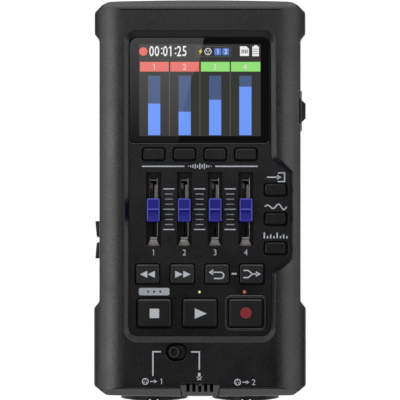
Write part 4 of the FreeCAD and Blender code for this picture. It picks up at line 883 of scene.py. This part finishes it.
def stamped_cover(cx):
    bm = bmesh.new()
    # cover plate around the slit, with its notched tab, in a painted shade tone of the steel; only a narrow strip right
    # of the slit, above the middle, keeps the plain steel tone
    add_prism(bm, [[(cx - 2.8, -15.9), (cx - 0.33, -15.9), (cx - 0.33, 7.1), (cx - 1.15, 7.1), (cx - 1.15, 7.65), (cx - 0.6, 7.65), (cx - 0.6, 9.45), (cx - 2.8, 9.45)]], 34.5, 34.88, 0)
    add_prism(bm, [[(cx + 0.33, -15.9), (cx + 2.8, -15.9), (cx + 2.8, -4.0), (cx + 0.33, -4.0)]], 34.5, 34.88, 0)
    add_prism(bm, [[(cx + 0.33, -4.0), (cx + 1.28, -4.0), (cx + 1.28, 6.2), (cx + 0.33, 6.2)]], 34.5, 34.9, 1)
    add_prism(bm, [[(cx + 1.28, -4.0), (cx + 2.8, -4.0), (cx + 2.8, 9.45), (cx + 1.28, 9.45)]], 34.5, 34.88, 0)
    add_prism(bm, [[(cx - 0.6, 7.65), (cx + 1.28, 7.65), (cx + 1.28, 9.45), (cx - 0.6, 9.45)]], 34.5, 34.86, 0)
    # raised tab at the upper left in a painted half-light tone of the steel; its lower edge is cut at a slant along the
    # edge of the cap's shadow
    add_prism(bm, [[(cx - 1.42, 5.0), (cx - 0.42, 4.2), (cx - 0.42, 6.7), (cx - 1.42, 6.7)]], 34.86, 34.98, 5)
    # low flanges, rounded over: the right one in a painted highlight tone, the left one in a painted half-light tone
    # above and in painted shade below
    for x0, x1, top, m, ya, yb in ((1.36, 1.66, 35.55, 2, -14.8, 8.9), (-2.2, -1.5, 35.1, 5, -4.0, 8.8), (-2.2, -1.5, 35.1, 0, -14.8, -4.0)):
        xm, w = cx + (x0 + x1) / 2, (x1 - x0) / 2
        sec = [(-w, 34.8), (w, 34.8), (w, top - w), (w * 0.7, top - w * 0.3), (0, top), (-w * 0.7, top - w * 0.3), (-w, top - w)]
        add_prism(bm, [[(xm + u, z) for u, z in sec]], ya, yb, m, to3d=lambda u, v, w_: (u, w_, v))
    # bar across the upper end
    yz_prism(bm, [(7.72, 34.8), (8.34, 34.8), (8.34, 35.16), (8.2, 35.26), (7.86, 35.26), (7.72, 35.16)], cx - 1.4, cx + 1.2, 1)
    # end stop and bent ear at the lower end, in painted highlight and painted light tones of the steel
    yz_prism(bm, [(-15.7, 34.8), (-14.95, 34.8), (-14.95, 35.46), (-15.08, 35.6), (-15.56, 35.6), (-15.7, 35.46)], cx - 1.5, cx + 1.4, 2)
    rows = [(-16.12, 34.9, -1.5, 1.3), (-16.14, 35.3, -1.52, 1.32), (-16.3, 35.5, -1.55, 1.35), (-16.62, 35.56, -1.66, 1.42), (-17.2, 35.52, -2.0, 1.78),
            (-17.9, 35.46, -2.35, 2.1), (-18.5, 35.4, -2.66, 2.4)]
    n = 10
    top, bot = [], []
    for y, z, a, b in rows:
        top.append([bm.verts.new(Vector((cx + a + (b - a) * k / n, y, z)) * MM) for k in range(n + 1)])
        bot.append([bm.verts.new(Vector((cx + a + (b - a) * k / n, y + (0.3 if y > -16.5 else 0.0), 34.86)) * MM) for k in range(n + 1)])
    made = []
    for i in range(len(rows) - 1):
        for k in range(n):
            f = bm.faces.new((top[i][k], top[i][k + 1], top[i + 1][k + 1], top[i + 1][k]))
            f.material_index = 2 if i < 3 else 4
            made.append(bm.faces.new((bot[i][k], bot[i + 1][k], bot[i + 1][k + 1], bot[i][k + 1])))
        for k in (0, n):
            q = (top[i][k], top[i + 1][k], bot[i + 1][k], bot[i][k])
            made.append(bm.faces.new(q if k == 0 else q[::-1]))
    for i in (0, len(rows) - 1):
        for k in range(n):
            q = (top[i][k], bot[i][k], bot[i][k + 1], top[i][k + 1])
            made.append(bm.faces.new(q if i == 0 else q[::-1]))
    for f in made:
        f.material_index = 4
    # resistor strips on the housing's floor
    for x0, x1 in ((-2.3, -0.5), (0.5, 2.3)):
        add_prism(bm, [rect(cx + x0, -19.3, cx + x1, 12.3, 0.3)], 30.92, 31.25, 3)
    return bm


for i, x in enumerate(FADER_X, 1):
    ob = new_mesh("slide_cover_%d" % i, stamped_cover(x), "case", M["rail_dark"])
    for k in RAIL_MATS[1:]:
        ob.data.materials.append(M[k])
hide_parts("fader_rails")

# ------------------------------------------------------------------ rounded bead on the record key's rim, ring on the selector, both in paler painted-highlight colours
def round_rect_path(cx, cy, w, h, r, z, n=8):
    return [(x, y, z) for x, y in rect(cx - w / 2, cy - h / 2, cx + w / 2, cy + h / 2, r, n)]


bm = bmesh.new()
tube(bm, round_rect_path(18.35, -45.37, 15.9, 13.3, 2.0, 39.12), 0.5, 12, closed=True)
new_mesh("record_rim_bead", bm, "case", M["rim"], smooth=True, sharp=80)
kx, ky = -10.4, -61.1
bm = bmesh.new()
tube(bm, [(kx + 1.88 * math.cos(2 * math.pi * k / 48), ky + 1.88 * math.sin(2 * math.pi * k / 48), 40.7) for k in range(48)], 0.2, 8, closed=True)
new_mesh("selector_ring", bm, "input_selector", M["knob_ring"], smooth=True, sharp=80)


def ring_sweep(bm, rings, mat_index=0):
    """Closed band through rings of equal point counts; the last ring joins the first."""
    vs = [[bm.verts.new(Vector(p) * MM) for p in r] for r in rings]
    m, n = len(vs), len(vs[0])
    for i in range(m):
        a, b = vs[i], vs[(i + 1) % m]
        for k in range(n):
            f = bm.faces.new((a[k], a[(k + 1) % n], b[(k + 1) % n], b[k]))
            f.material_index = mat_index


# rounded edge of the panel under the display glass, a tube in a pale painted-highlight colour
bm = bmesh.new()
lx0, ly = at(129.6, 143.55, 38.6)
lx1, _ = at(268.6, 143.55, 38.6)
tube(bm, [(x, y, 38.54) for x, y in arc(lx0 + 0.9, ly + 0.9, 0.9, 180, 270, 8)] + [(x, y, 38.54) for x, y in arc(lx1 - 0.9, ly + 0.9, 0.9, 270, 360, 8)], 0.2, 10)
new_mesh("panel_glass_edge", bm, "case", M["edge_line"], smooth=True, sharp=60)

# slope of the selector's dish, painted darker than the case as shade inside the hollow, with a light lower edge in a
# painted highlight colour
bm = bmesh.new()
cx, cy, hw, hh = -9.4, -61.2, 4.8, 4.11
ring_sweep(bm, [[(x, y, z) for x, y in rect(cx - hw - o, cy - hh - o, cx + hw + o, cy + hh + o, 4.06 + o, 12)] for o, z in
                ((0.05, 40.99), (-0.4, 40.72), (-0.78, 40.44), (-0.84, 40.3), (-0.84, 40.05), (-0.1, 40.0))])
ring_sweep(bm, [[(x, y, z) for x, y in rect(cx - a, cy - b_, cx + a, cy + b_, r_, 12)] for a, b_, r_, z in
                ((3.84, 2.86, 2.82, 38.99), (4.33, 3.5, 3.45, 40.03), (4.2, 3.36, 3.31, 40.03), (3.7, 2.72, 2.68, 39.04))])
new_mesh("selector_dish_slope", bm, "case", M["dish"], smooth=True, sharp=50)
bm = bmesh.new()
full = rect(cx - 4.5, cy - 3.81, cx + 4.5, cy + 3.81, 3.76, 16)
low = sorted([p for p in full if p[1] < cy - 0.6], key=lambda p: p[0])
tube(bm, [(x, y, 40.72) for x, y in low], 0.17, 8)
new_mesh("selector_dish_edge", bm, "case", M["dish_edge"], smooth=True, sharp=60)

# rounded lower edge of the recess: a tube in a pale painted-highlight colour, drawn below
def face_loop_low(node_name, z):
    """Points of the recess's outline at height z, all the way round."""
    best = None
    for lp in top_loops(node_name, z):
        xs = [p[0] for p in lp]
        ys = [p[1] for p in lp]
        if 50 < max(xs) - min(xs) < 75 and max(ys) - min(ys) > 80 and (best is None or len(lp) > len(best)):
            best = lp
    return best


# painted shade: a near-black ring around each key opening, drawn below
def top_loops(node_name, z, tol=0.004):
    """Closed edge loops (mm) of a node's flat face at height z."""
    me = NODES[node_name].data
    co = [v.co / MM for v in me.vertices]
    count = {}
    for p in me.polygons:
        if all(abs(co[i].z - z) < tol for i in p.vertices):
            for a, b in p.edge_keys:
                count[(a, b)] = count.get((a, b), 0) + 1
    key_of = {}
    link = {}

    def vid(i):
        return key_of.setdefault((round(co[i].x, 3), round(co[i].y, 3)), i)

    merged = {}
    for (a, b), n in count.items():
        k = tuple(sorted((vid(a), vid(b))))
        merged[k] = merged.get(k, 0) + n
    for (a, b), n in merged.items():
        if n == 1 and a != b:
            link.setdefault(a, []).append(b)
            link.setdefault(b, []).append(a)
    loops, seen = [], set()
    for s0 in sorted(link):
        if s0 in seen:
            continue
        loop, prev, cur = [s0], None, s0
        seen.add(s0)
        while True:
            nxt = [v for v in link[cur] if v != prev and v not in seen]
            if not nxt:
                break
            prev, cur = cur, nxt[0]
            seen.add(cur)
            loop.append(cur)
        if len(loop) > 3:
            loops.append([(co[i].x, co[i].y) for i in loop])
    return loops


def grown(loop, d):
    """A convex loop, d mm further out."""
    cx = sum(p[0] for p in loop) / len(loop)
    cy = sum(p[1] for p in loop) / len(loop)
    out, n = [], len(loop)
    for i, (x, y) in enumerate(loop):
        ax, ay = loop[i - 1]
        bx, by = loop[(i + 1) % n]
        n1 = Vector((ay - y, x - ax)).normalized()
        n2 = Vector((y - by, bx - x)).normalized()
        nn = n1 + n2
        if nn.length < 1e-6:
            nn = n1
        nn.normalize()
        if nn.dot(Vector((x - cx, y - cy))) < 0:
            nn = -nn
        c = max(0.6, abs(nn.dot(n1)))
        out.append((x + nn.x * d / c, y + nn.y * d / c))
    return out


# painted shade: a near-black ring on the panel around each key opening
bm = bmesh.new()
for lp in top_loops("control_panel", 38.6):
    w = max(p[0] for p in lp) - min(p[0] for p in lp)
    h = max(p[1] for p in lp) - min(p[1] for p in lp)
    if 8 < w < 16 and h < 14:
        add_prism(bm, [grown(lp, 0.2 if w < 9.9 else 0.13), grown(lp, -0.02)[::-1]], 38.5, 38.612)
new_mesh("opening_painted_shade", bm, "case", M["gap"])
# painted highlight: a pale tube along the recess's lower edge
lip = face_loop_low("front_shell", 41.0)
if lip:
    run = sorted([p for p in lip if p[1] < -52.0], key=lambda p: math.atan2(p[1] + 45.0, p[0]))
    bm = bmesh.new()
    tube(bm, [(x, y, 40.92) for x, y in run], 0.19, 8)
    new_mesh("recess_lower_edge", bm, "case", M["edge_line"], smooth=True, sharp=60)

# ------------------------------------------------------------------ cells with their wrap, and the battery contacts
def lathe_solid(bm, profile, centre, axis="z", n=40, mats=None):
    """Closed lathe whose profile starts and ends on the axis (radius 0)."""
    rings = []
    for r, h in profile:
        row = []
        for k in range(1 if r == 0 else n):
            a = 2 * math.pi * k / n
            u, v = r * math.cos(a), r * math.sin(a)
            p = {"z": (centre[0] + u, centre[1] + v, centre[2] + h), "y": (centre[0] + u, centre[1] + h, centre[2] + v), "x": (centre[0] + h, centre[1] + u, centre[2] + v)}[axis]
            row.append(bm.verts.new(Vector(p) * MM))
        rings.append(row)
    for i in range(len(rings) - 1):
        a, b = rings[i], rings[i + 1]
        for k in range(n):
            if len(a) == 1:
                f = bm.faces.new((a[0], b[(k + 1) % n], b[k]))
            elif len(b) == 1:
                f = bm.faces.new((a[k], a[(k + 1) % n], b[0]))
            else:
                f = bm.faces.new((a[k], a[(k + 1) % n], b[(k + 1) % n], b[k]))
            f.material_index = mats[i] if mats else 0


CELLS = [(x, 10.6, 1 if i % 2 == 0 else -1) for i, x in enumerate((-21.75, -7.25, 7.25, 21.75))]
CY0, CLEN, CR = -43.5, 50.5, 7.1
bm = bmesh.new()
for x, zc, d in CELLS:
    minus = CY0 if d > 0 else CY0 + CLEN
    # from the minus plate to the button: steel, wrap, coloured band, steel
    prof = [(0, 0), (4.6, 0), (5.0, 0.12), (5.9, 0.12), (6.3, 0.3), (6.75, 0.22), (7.02, 0.4), (7.1, 0.8), (7.1, 14.8), (7.1, 15.2), (7.1, 15.6), (7.1, 47.9),
            (6.98, 48.5), (6.6, 48.85), (6.1, 48.9), (5.9, 48.75), (4.2, 48.75), (3.6, 48.95), (2.8, 49.1), (2.7, 49.4), (2.62, 50.2), (2.35, 50.44), (1.6, 50.5), (0, 50.5)]
    mats = [1, 1, 1, 1, 0, 0, 0, 2, 3, 3, 0, 0, 0, 0, 1, 1, 1, 1, 1, 1, 1, 1, 1]
    lathe_solid(bm, [(r, h * d) for r, h in prof], (x, minus, zc), "y", 44, mats)
ob = new_mesh("cells", bm, "case", M["cell_wrap"], smooth=True)
for k in ("steel", "cell_band", "cell_line"):
    ob.data.materials.append(M[k])
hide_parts("battery_cells")
bm = bmesh.new()
for x, zc, d in CELLS:
    # plus and minus marks on the wrap, facing the door
    plus = CY0 + CLEN - 5.0 if d > 0 else CY0 + 5.0
    minus = CY0 + 5.0 if d > 0 else CY0 + CLEN - 5.0

    def on_cell(u, v, w, x=x, zc=zc):
        a = u / CR
        return (x + (CR + w) * math.sin(a), v, zc - (CR + w) * math.cos(a))
    for u0, v0, u1, v1 in ((-1.6, plus - 0.3, 1.6, plus + 0.3), (-0.3, plus - 1.6, 0.3, plus - 0.32), (-0.3, plus + 0.32, 0.3, plus + 1.6), (-1.6, minus - 0.3, 1.6, minus + 0.3)):
        cols = 8 if u1 - u0 > 1 else 2
        grid = [[[bm.verts.new(Vector(on_cell(u0 + (u1 - u0) * k / cols, v, w)) * MM) for w in (-0.03, 0.04)] for v in (v0, v1)] for k in range(cols + 1)]
        for k in range(cols):
            a, b = grid[k], grid[k + 1]
            for q in ((a[0][1], b[0][1], b[1][1], a[1][1]), (a[0][0], a[1][0], b[1][0], b[0][0]), (a[0][0], b[0][0], b[0][1], a[0][1]), (a[1][0], a[1][1], b[1][1], b[1][0])):
                bm.faces.new(q)
        for k in (0, cols):
            g4 = grid[k]
            bm.faces.new((g4[0][0], g4[0][1], g4[1][1], g4[1][0]))
new_mesh("cell_marks", bm, "case", M["white_ink"])

bm = bmesh.new()
for x, zc, d in CELLS:
    minus, plus = (CY0, CY0 + CLEN) if d > 0 else (CY0 + CLEN, CY0)
    for yc, s in ((minus, -d), (plus, d)):
        ya, yb = sorted((yc + s * 2.22, yc + s * 2.58))
        add_prism(bm, [rect(x - 5.4, zc - 5.4, x + 5.4, zc + 5.4, 1.1)], ya, yb, to3d=lambda u, v, w: (u, w, v))
    turns, steps = 3.6, 26
    pts = []
    for k in range(int(turns * steps) + 1):
        t = k / (turns * steps)
        r = 4.45 - 2.0 * t
        a = 2 * math.pi * turns * t
        pts.append((x + r * math.cos(a), minus - d * (2.0 - 1.55 * t), zc + r * math.sin(a)))
    tube(bm, pts, 0.34, 8)
    lathe_solid(bm, [(0, 0.1), (1.2, 0.14), (1.7, 0.3), (1.95, 0.7), (2.0, 1.6), (2.3, 2.0), (3.2, 2.2), (3.6, 2.3), (0, 2.3)] if d > 0 else
                [(0, -0.1), (1.2, -0.14), (1.7, -0.3), (1.95, -0.7), (2.0, -1.6), (2.3, -2.0), (3.2, -2.2), (3.6, -2.3), (0, -2.3)], (x, plus, zc), "y", 32)
ob = new_mesh("cell_springs", bm, "case", M["contact"], smooth=True, sharp=40)
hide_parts("battery_contacts")

# ------------------------------------------------------------------ input sockets
for tag, jx in (("a", -18.7), ("b", 18.7)):
    bm = bmesh.new()
    jz = 20.3
    for a in (-90, 30, 150):
        hx, hz = jx + 5.65 * math.cos(math.radians(a)), jz + 5.65 * math.sin(math.radians(a))
        # slotted contact tube: two half shells
        for h0 in (12, 192):
            ring = [(1.02 * math.cos(math.radians(h0 + 156 * k / 12)), 1.02 * math.sin(math.radians(h0 + 156 * k / 12))) for k in range(13)]
            ring += [(0.74 * math.cos(math.radians(h0 + 156 * (12 - k) / 12)), 0.74 * math.sin(math.radians(h0 + 156 * (12 - k) / 12))) for k in range(13)]
            add_prism(bm, [[(hx + u, hz + v) for u, v in ring]], -79.1, -67.0, 0, to3d=lambda u, v, w: (u, w, v))
    ob = new_mesh("input_pins_%s" % tag, bm, "case", M["gold"], smooth=True)
    bm = bmesh.new()
    rings = []
    for r, y in ((3.24, -80.3), (3.24, -60.0), (2.92, -60.0), (2.92, -79.9), (3.05, -80.3)):
        rings.append([(jx + r * math.cos(2 * math.pi * k / 36), y, jz + r * math.sin(2 * math.pi * k / 36)) for k in range(36)])
    ring_sweep(bm, rings)
    # leaf contacts in the bore
    for a, y0 in ((90, -70.0), (210, -66.0), (330, -74.0)):
        ux, uz = math.cos(math.radians(a)), math.sin(math.radians(a))
        px_, pz_ = -uz, ux
        prof = [(2.95, y0 - 3.0), (2.3, y0 - 0.8), (2.15, y0), (2.3, y0 + 0.8), (2.95, y0 + 3.0), (2.75, y0 + 3.0), (2.12, y0 + 0.7), (1.98, y0), (2.12, y0 - 0.7), (2.75, y0 - 3.0)]
        add_prism(bm, [prof], -0.7, 0.7, 0, to3d=lambda r, y, w, ux=ux, uz=uz, px_=px_, pz_=pz_: (jx + r * ux + w * px_, y, jz + r * uz + w * pz_))
    ob = new_mesh("input_sleeve_%s" % tag, bm, "case", M["steel"], smooth=True)
    bm = bmesh.new()
    # release tab in the notch over the block
    add_prism(bm, [[(-81.1, 9.15), (-80.6, 9.05), (-73.0, 9.05), (-73.0, 10.2), (-80.9, 10.2), (-81.25, 10.55), (-81.25, 9.6)]], jx - 1.3, jx + 1.3, 0, to3d=lambda u, v, w: (w, u, jz + v))
    for k in range(3):
        add_prism(bm, [rect(-81.32, 9.45 + 0.32 * k, -81.2, 9.6 + 0.32 * k)], jx - 1.1, jx + 1.1, 0, to3d=lambda u, v, w: (w, u, jz + v))
    new_mesh("input_latch_%s" % tag, bm, "case", M["steel"])

# ------------------------------------------------------------------ small sockets on the sides
bm = bmesh.new()
for y in (22.0, 8.0):
    ring_sweep(bm, [[(x, y + r * math.cos(2 * math.pi * k / 36), 25.7 + r * math.sin(2 * math.pi * k / 36)) for k in range(36)] for r, x in
                    ((2.75, -40.1), (2.75, -40.28), (2.6, -40.36), (1.98, -40.36), (1.8, -40.2), (1.78, -37.0), (1.7, -37.0), (1.7, -34.0), (1.84, -34.0), (1.84, -40.1))])
    for a in (60, 180, 300):
        c, s_ = math.cos(math.radians(a)), math.sin(math.radians(a))
        prof = [(1.76, -36.5), (1.4, -35.0), (1.4, -34.6), (1.76, -33.2), (1.66, -33.2), (1.3, -34.6), (1.3, -35.0), (1.66, -36.5)]
        add_prism(bm, [prof], -0.35, 0.35, 0, to3d=lambda r, x, w, c=c, s_=s_, y=y: (x, y + r * c - w * s_, 25.7 + r * s_ + w * c))
new_mesh("small_socket_sleeves", bm, "case", M["steel"], smooth=True)
bm = bmesh.new()
for side in (1, -1):
    for k in range(12):
        y = -2.75 + 0.5 * k
        z0, z1 = (26.83, 26.875) if side > 0 else (26.125, 26.17)
        add_prism(bm, [rect(36.6, y - 0.13, 38.55 if k % 3 else 38.75, y + 0.13)], z0, z1)
new_mesh("data_port_contacts", bm, "case", M["gold"])

# ------------------------------------------------------------------ threaded insert for a stand
bm = bmesh.new()
n, pitch, y0 = 48, 1.27, 45.0
rows = [[(5.4, 8.45)] * n, [(5.4, 1.35)] * n, [(5.15, 1.05)] * n, [(3.45, 1.05)] * n, [(3.2, 1.2)] * n]
zz = 1.35
while zz < 6.95:
    row = []
    for k in range(n):
        ph = (zz / pitch - k / n) % 1.0
        tri = 1 - abs(2 * ph - 1)
        row.append((2.62 + 0.5 * min(1.0, max(0.0, (tri - 0.12) / 0.76)), zz))
    rows.append(row)
    zz += pitch / 8
rows.append([(2.6, 7.45)] * n)
vs = [[bm.verts.new(Vector((r * math.cos(2 * math.pi * k / n), y0 + r * math.sin(2 * math.pi * k / n), z)) * MM) for k, (r, z) in enumerate(row)] for row in rows]
for i in range(len(vs) - 1):
    for k in range(n):
        bm.faces.new((vs[i][k], vs[i][(k + 1) % n], vs[i + 1][(k + 1) % n], vs[i + 1][k]))
c0 = bm.verts.new(Vector((0, y0, 8.45)) * MM)
c1 = bm.verts.new(Vector((0, y0, 7.45)) * MM)
for k in range(n):
    bm.faces.new((vs[0][(k + 1) % n], vs[0][k], c0))
    bm.faces.new((vs[-1][k], vs[-1][(k + 1) % n], c1))
ob = new_mesh("stand_thread", bm, "case", M["brass"], smooth=True, sharp=50)
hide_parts("tripod_insert")

# ------------------------------------------------------------------ signs on the sides and on the door
def side_print(name, solids, x, y, z, sign, body="case", surf=None, mat="side_ink"):
    """Print on an upright side. sign +1 is the right side, -1 the left; u runs to the right for someone facing it."""
    bm = bmesh.new()
    for loops in solids:
        add_prism(bm, loops, -0.02, 0.03, to3d=lambda u, v, w: ((surf(y + sign * u) if surf else x) + sign * w, y + sign * u, z + v))
    return new_mesh(name, bm, body, M[mat])


phones = [stroke(arc(0, -0.2, 1.25, 0, 180, 14), 0.34), [rect(-1.6, -1.25, -0.85, 0.1, 0.25)], [rect(0.85, -1.25, 1.6, 0.1, 0.25)]]
side_print("print_phones_sign", phones, -40.5, 22.0, 31.6, -1)
line_out = [[rect(-1.7, -0.2, 0.5, 0.2)], [[(0.3, 0.85), (1.7, 0.0), (0.3, -0.85)]]]
side_print("print_line_sign", line_out, -40.5, 8.0, 31.4, -1)
power = [stroke(arc(0, 0, 1.25, 125, 415, 26), 0.36), [rect(-0.18, 0.2, 0.18, 1.6)]]
side_print("print_power_sign", power, 40.5, 22.8, 31.3, 1)
port = [[rect(-2.0, -0.75, 2.0, 0.75, 0.72), rect(-1.7, -0.45, 1.7, 0.45, 0.43)[::-1]], [rect(-1.1, -0.14, 1.1, 0.14)]]
side_print("print_port_sign", port, 40.5, 0.0, 31.4, 1)
card_sign = [stroke([(-1.2, -1.5), (1.2, -1.5), (1.2, 1.5), (-0.4, 1.5), (-1.2, 0.7)], 0.3, closed=True), [rect(-0.6, 0.1, -0.3, 0.9)], [rect(-0.05, 0.1, 0.25, 0.9)], [rect(0.5, 0.1, 0.8, 0.9)]]
side_print("print_card_sign", card_sign, 40.5, -8.6, 27.4, 1)
up_surf = lambda y: -42.4 + (-8.55 - y) / (-8.55 + 14.75) * 0.55
dn_surf = lambda y: -42.4 + (y + 23.65) / (-17.45 + 23.65) * 0.55
side_print("sign_volume_up", [[rect(-1.0, -0.17, 1.0, 0.17)], [rect(-0.17, 0.19, 0.17, 1.0)], [rect(-0.17, -1.0, 0.17, -0.19)]], 0, -11.6, 30.0, -1, "volume_up_button", up_surf, "white_ink")
side_print("sign_volume_down", [[rect(-1.0, -0.17, 1.0, 0.17)]], 0, -20.6, 30.0, -1, "volume_down_button", dn_surf, "white_ink")
# arrow and line on the battery door, marks for the cells inside it
bm = bmesh.new()
under = lambda u, v, w: (u, v, 1.0 - w)
for lp in ([(-1.6, -0.4), (1.6, -0.4), (0, 2.2)], [(-1.6, -1.4), (1.6, -1.4), (1.6, -0.9), (-1.6, -0.9)]):
    add_prism(bm, [[(u, v + 0.6 - 1.0) for u, v in lp]], -0.02, 0.03, to3d=under)
new_mesh("door_arrow", bm, "battery_door", M["side_ink"])
bm = bmesh.new()
for x, zc, d in CELLS:
    add_prism(bm, [rect(x - 5.6, -38.5, x + 5.6, 2.0, 1.4), rect(x - 5.25, -38.15, x + 5.25, 1.65, 1.1)[::-1]], 2.78, 2.83)
    yp, ym = (-2.0, -34.5) if d > 0 else (-34.5, -2.0)
    for lp in ([(x - 1.6, yp - 0.28), (x + 1.6, yp - 0.28), (x + 1.6, yp + 0.28), (x - 1.6, yp + 0.28)],
               [(x - 0.28, yp + 0.3), (x + 0.28, yp + 0.3), (x + 0.28, yp + 1.6), (x - 0.28, yp + 1.6)],
               [(x - 0.28, yp - 1.6), (x + 0.28, yp - 1.6), (x + 0.28, yp - 0.3), (x - 0.28, yp - 0.3)],
               [(x - 1.6, ym - 0.28), (x + 1.6, ym - 0.28), (x + 1.6, ym + 0.28), (x - 1.6, ym + 0.28)]):
        add_prism(bm, [lp], 2.78, 2.83)
new_mesh("door_cell_marks", bm, "battery_door", M["side_ink"])

# ------------------------------------------------------------------ floor, light
floor_m, nt, b = material("floor_card")
vec = coords(nt)
n1 = noise(nt, vec, 30.0, 3.0, 0.5)
nt.links.new(mix_col(nt, n1, (0.86, 0.86, 0.86, 1), (0.88, 0.88, 0.88, 1)), b.inputs["Base Color"])
b.inputs["Roughness"].default_value = 0.7
b.inputs["Specular IOR Level"].default_value = 0.2
b.inputs["Emission Color"].default_value = (1, 1, 1, 1)
b.inputs["Emission Strength"].default_value = 0.67
bm = bmesh.new()
bmesh.ops.create_grid(bm, x_segments=8, y_segments=8, size=3.0)
me = bpy.data.meshes.new("floor")
bm.to_mesh(me)
bm.free()
floor = bpy.data.objects.new("floor", me)
floor.location.z = -0.00002
me.materials.append(floor_m)
scene.collection.objects.link(floor)


def area(name, loc, target, sx, sy, power, colour=(1, 1, 1)):
    d = bpy.data.lights.new(name, "AREA")
    d.shape = "RECTANGLE"
    d.size = sx
    d.size_y = sy
    d.energy = power
    d.color = colour
    o = bpy.data.objects.new(name, d)
    o.location = loc
    o.rotation_euler = (Vector(target) - Vector(loc)).to_track_quat("-Z", "Y").to_euler()
    scene.collection.objects.link(o)
    return o


def off_axis(tilt_deg, azimuth_deg, dist):
    """Point at a tilt from the vertical, in a compass direction (0 = +X, 90 = +Y)."""
    t, a = math.radians(tilt_deg), math.radians(azimuth_deg)
    return (dist * math.sin(t) * math.cos(a), dist * math.sin(t) * math.sin(a), dist * math.cos(t))


def softbox(name, tilt0, tilt1, azimuth, half_azimuth, radiance, dist=1.2):
    """Flat box that fills the tilts between tilt0 and tilt1, seen from the object."""
    tc = (tilt0 + tilt1) / 2
    sy = 2 * dist * math.tan(math.radians((tilt1 - tilt0) / 2))
    sx = 2 * dist * math.tan(math.radians(half_azimuth)) * max(0.35, math.sin(math.radians(tc)))
    x, y, z = off_axis(tc, azimuth, dist)
    return area(name, (x, y, z + 0.03), (0, 0, 0.03), sx, sy, radiance * math.pi * sx * sy)


softbox("softbox_left_near", 8, 20, 180, 30, 0.3)
softbox("softbox_left_main", 20, 34, 180, 30, 4.3)
softbox("softbox_left_side", 34, 48, 180, 30, 2.2)
softbox("softbox_left_low", 69, 90, 180, 44, 1.8)
softbox("softbox_right_main", 16, 30, 0, 30, 2.4)
softbox("softbox_right_side", 30, 46, 0, 30, 1.95)
softbox("softbox_right_low", 66, 90, 0, 44, 1.45)
softbox("softbox_top_main", 12, 26, 90, 30, 2.4)
softbox("softbox_top_low", 64, 88, 90, 46, 1.7)
softbox("softbox_bottom_low", 52, 74, 270, 44, 0.62)

world = bpy.data.worlds.new("studio")
scene.world = world
world.use_nodes = True
wn = world.node_tree
bg = wn.nodes["Background"]
bg.inputs["Color"].default_value = (1, 1, 1, 1)
bg.inputs["Strength"].default_value = 0.05

# card whose edge shows in the lens
h = 1.30
k = 1 + (h - 0.0384) / (CAM_Z * MM - 0.0384)
edge = [(1.9, 67.0), (-0.2, 55.6), (-3.1, 49.9), (-5.6, 40.2), (-7.3, 32.2), (-8.9, 22.0)]
outline = [(x * MM * k, y * MM * k) for x, y in edge] + [(-34 * MM * k, 22 * MM * k), (-34 * MM * k, 67 * MM * k)]
bm = bmesh.new()
vs = [bm.verts.new((x, y, h)) for x, y in outline]
bm.faces.new(vs)
me = bpy.data.meshes.new("glare_card")
bm.to_mesh(me)
bm.free()
gm, nt, b = material("glare_card")
vec = coords(nt)
sep = node(nt, "ShaderNodeSeparateXYZ")
nt.links.new(vec, sep.inputs[0])
em = node(nt, "ShaderNodeEmission")
nt.links.new(remap(nt, sep.outputs["Y"], 24 * MM * k, 66 * MM * k, 0.2, 1.35), em.inputs["Strength"])
nt.links.new(em.outputs[0], nt.nodes["Material Output"].inputs["Surface"])
me.materials.append(gm)
card_ob = bpy.data.objects.new("glare_card", me)
scene.collection.objects.link(card_ob)
card_ob.visible_camera = False
card_ob.visible_diffuse = False
card_ob.visible_shadow = False
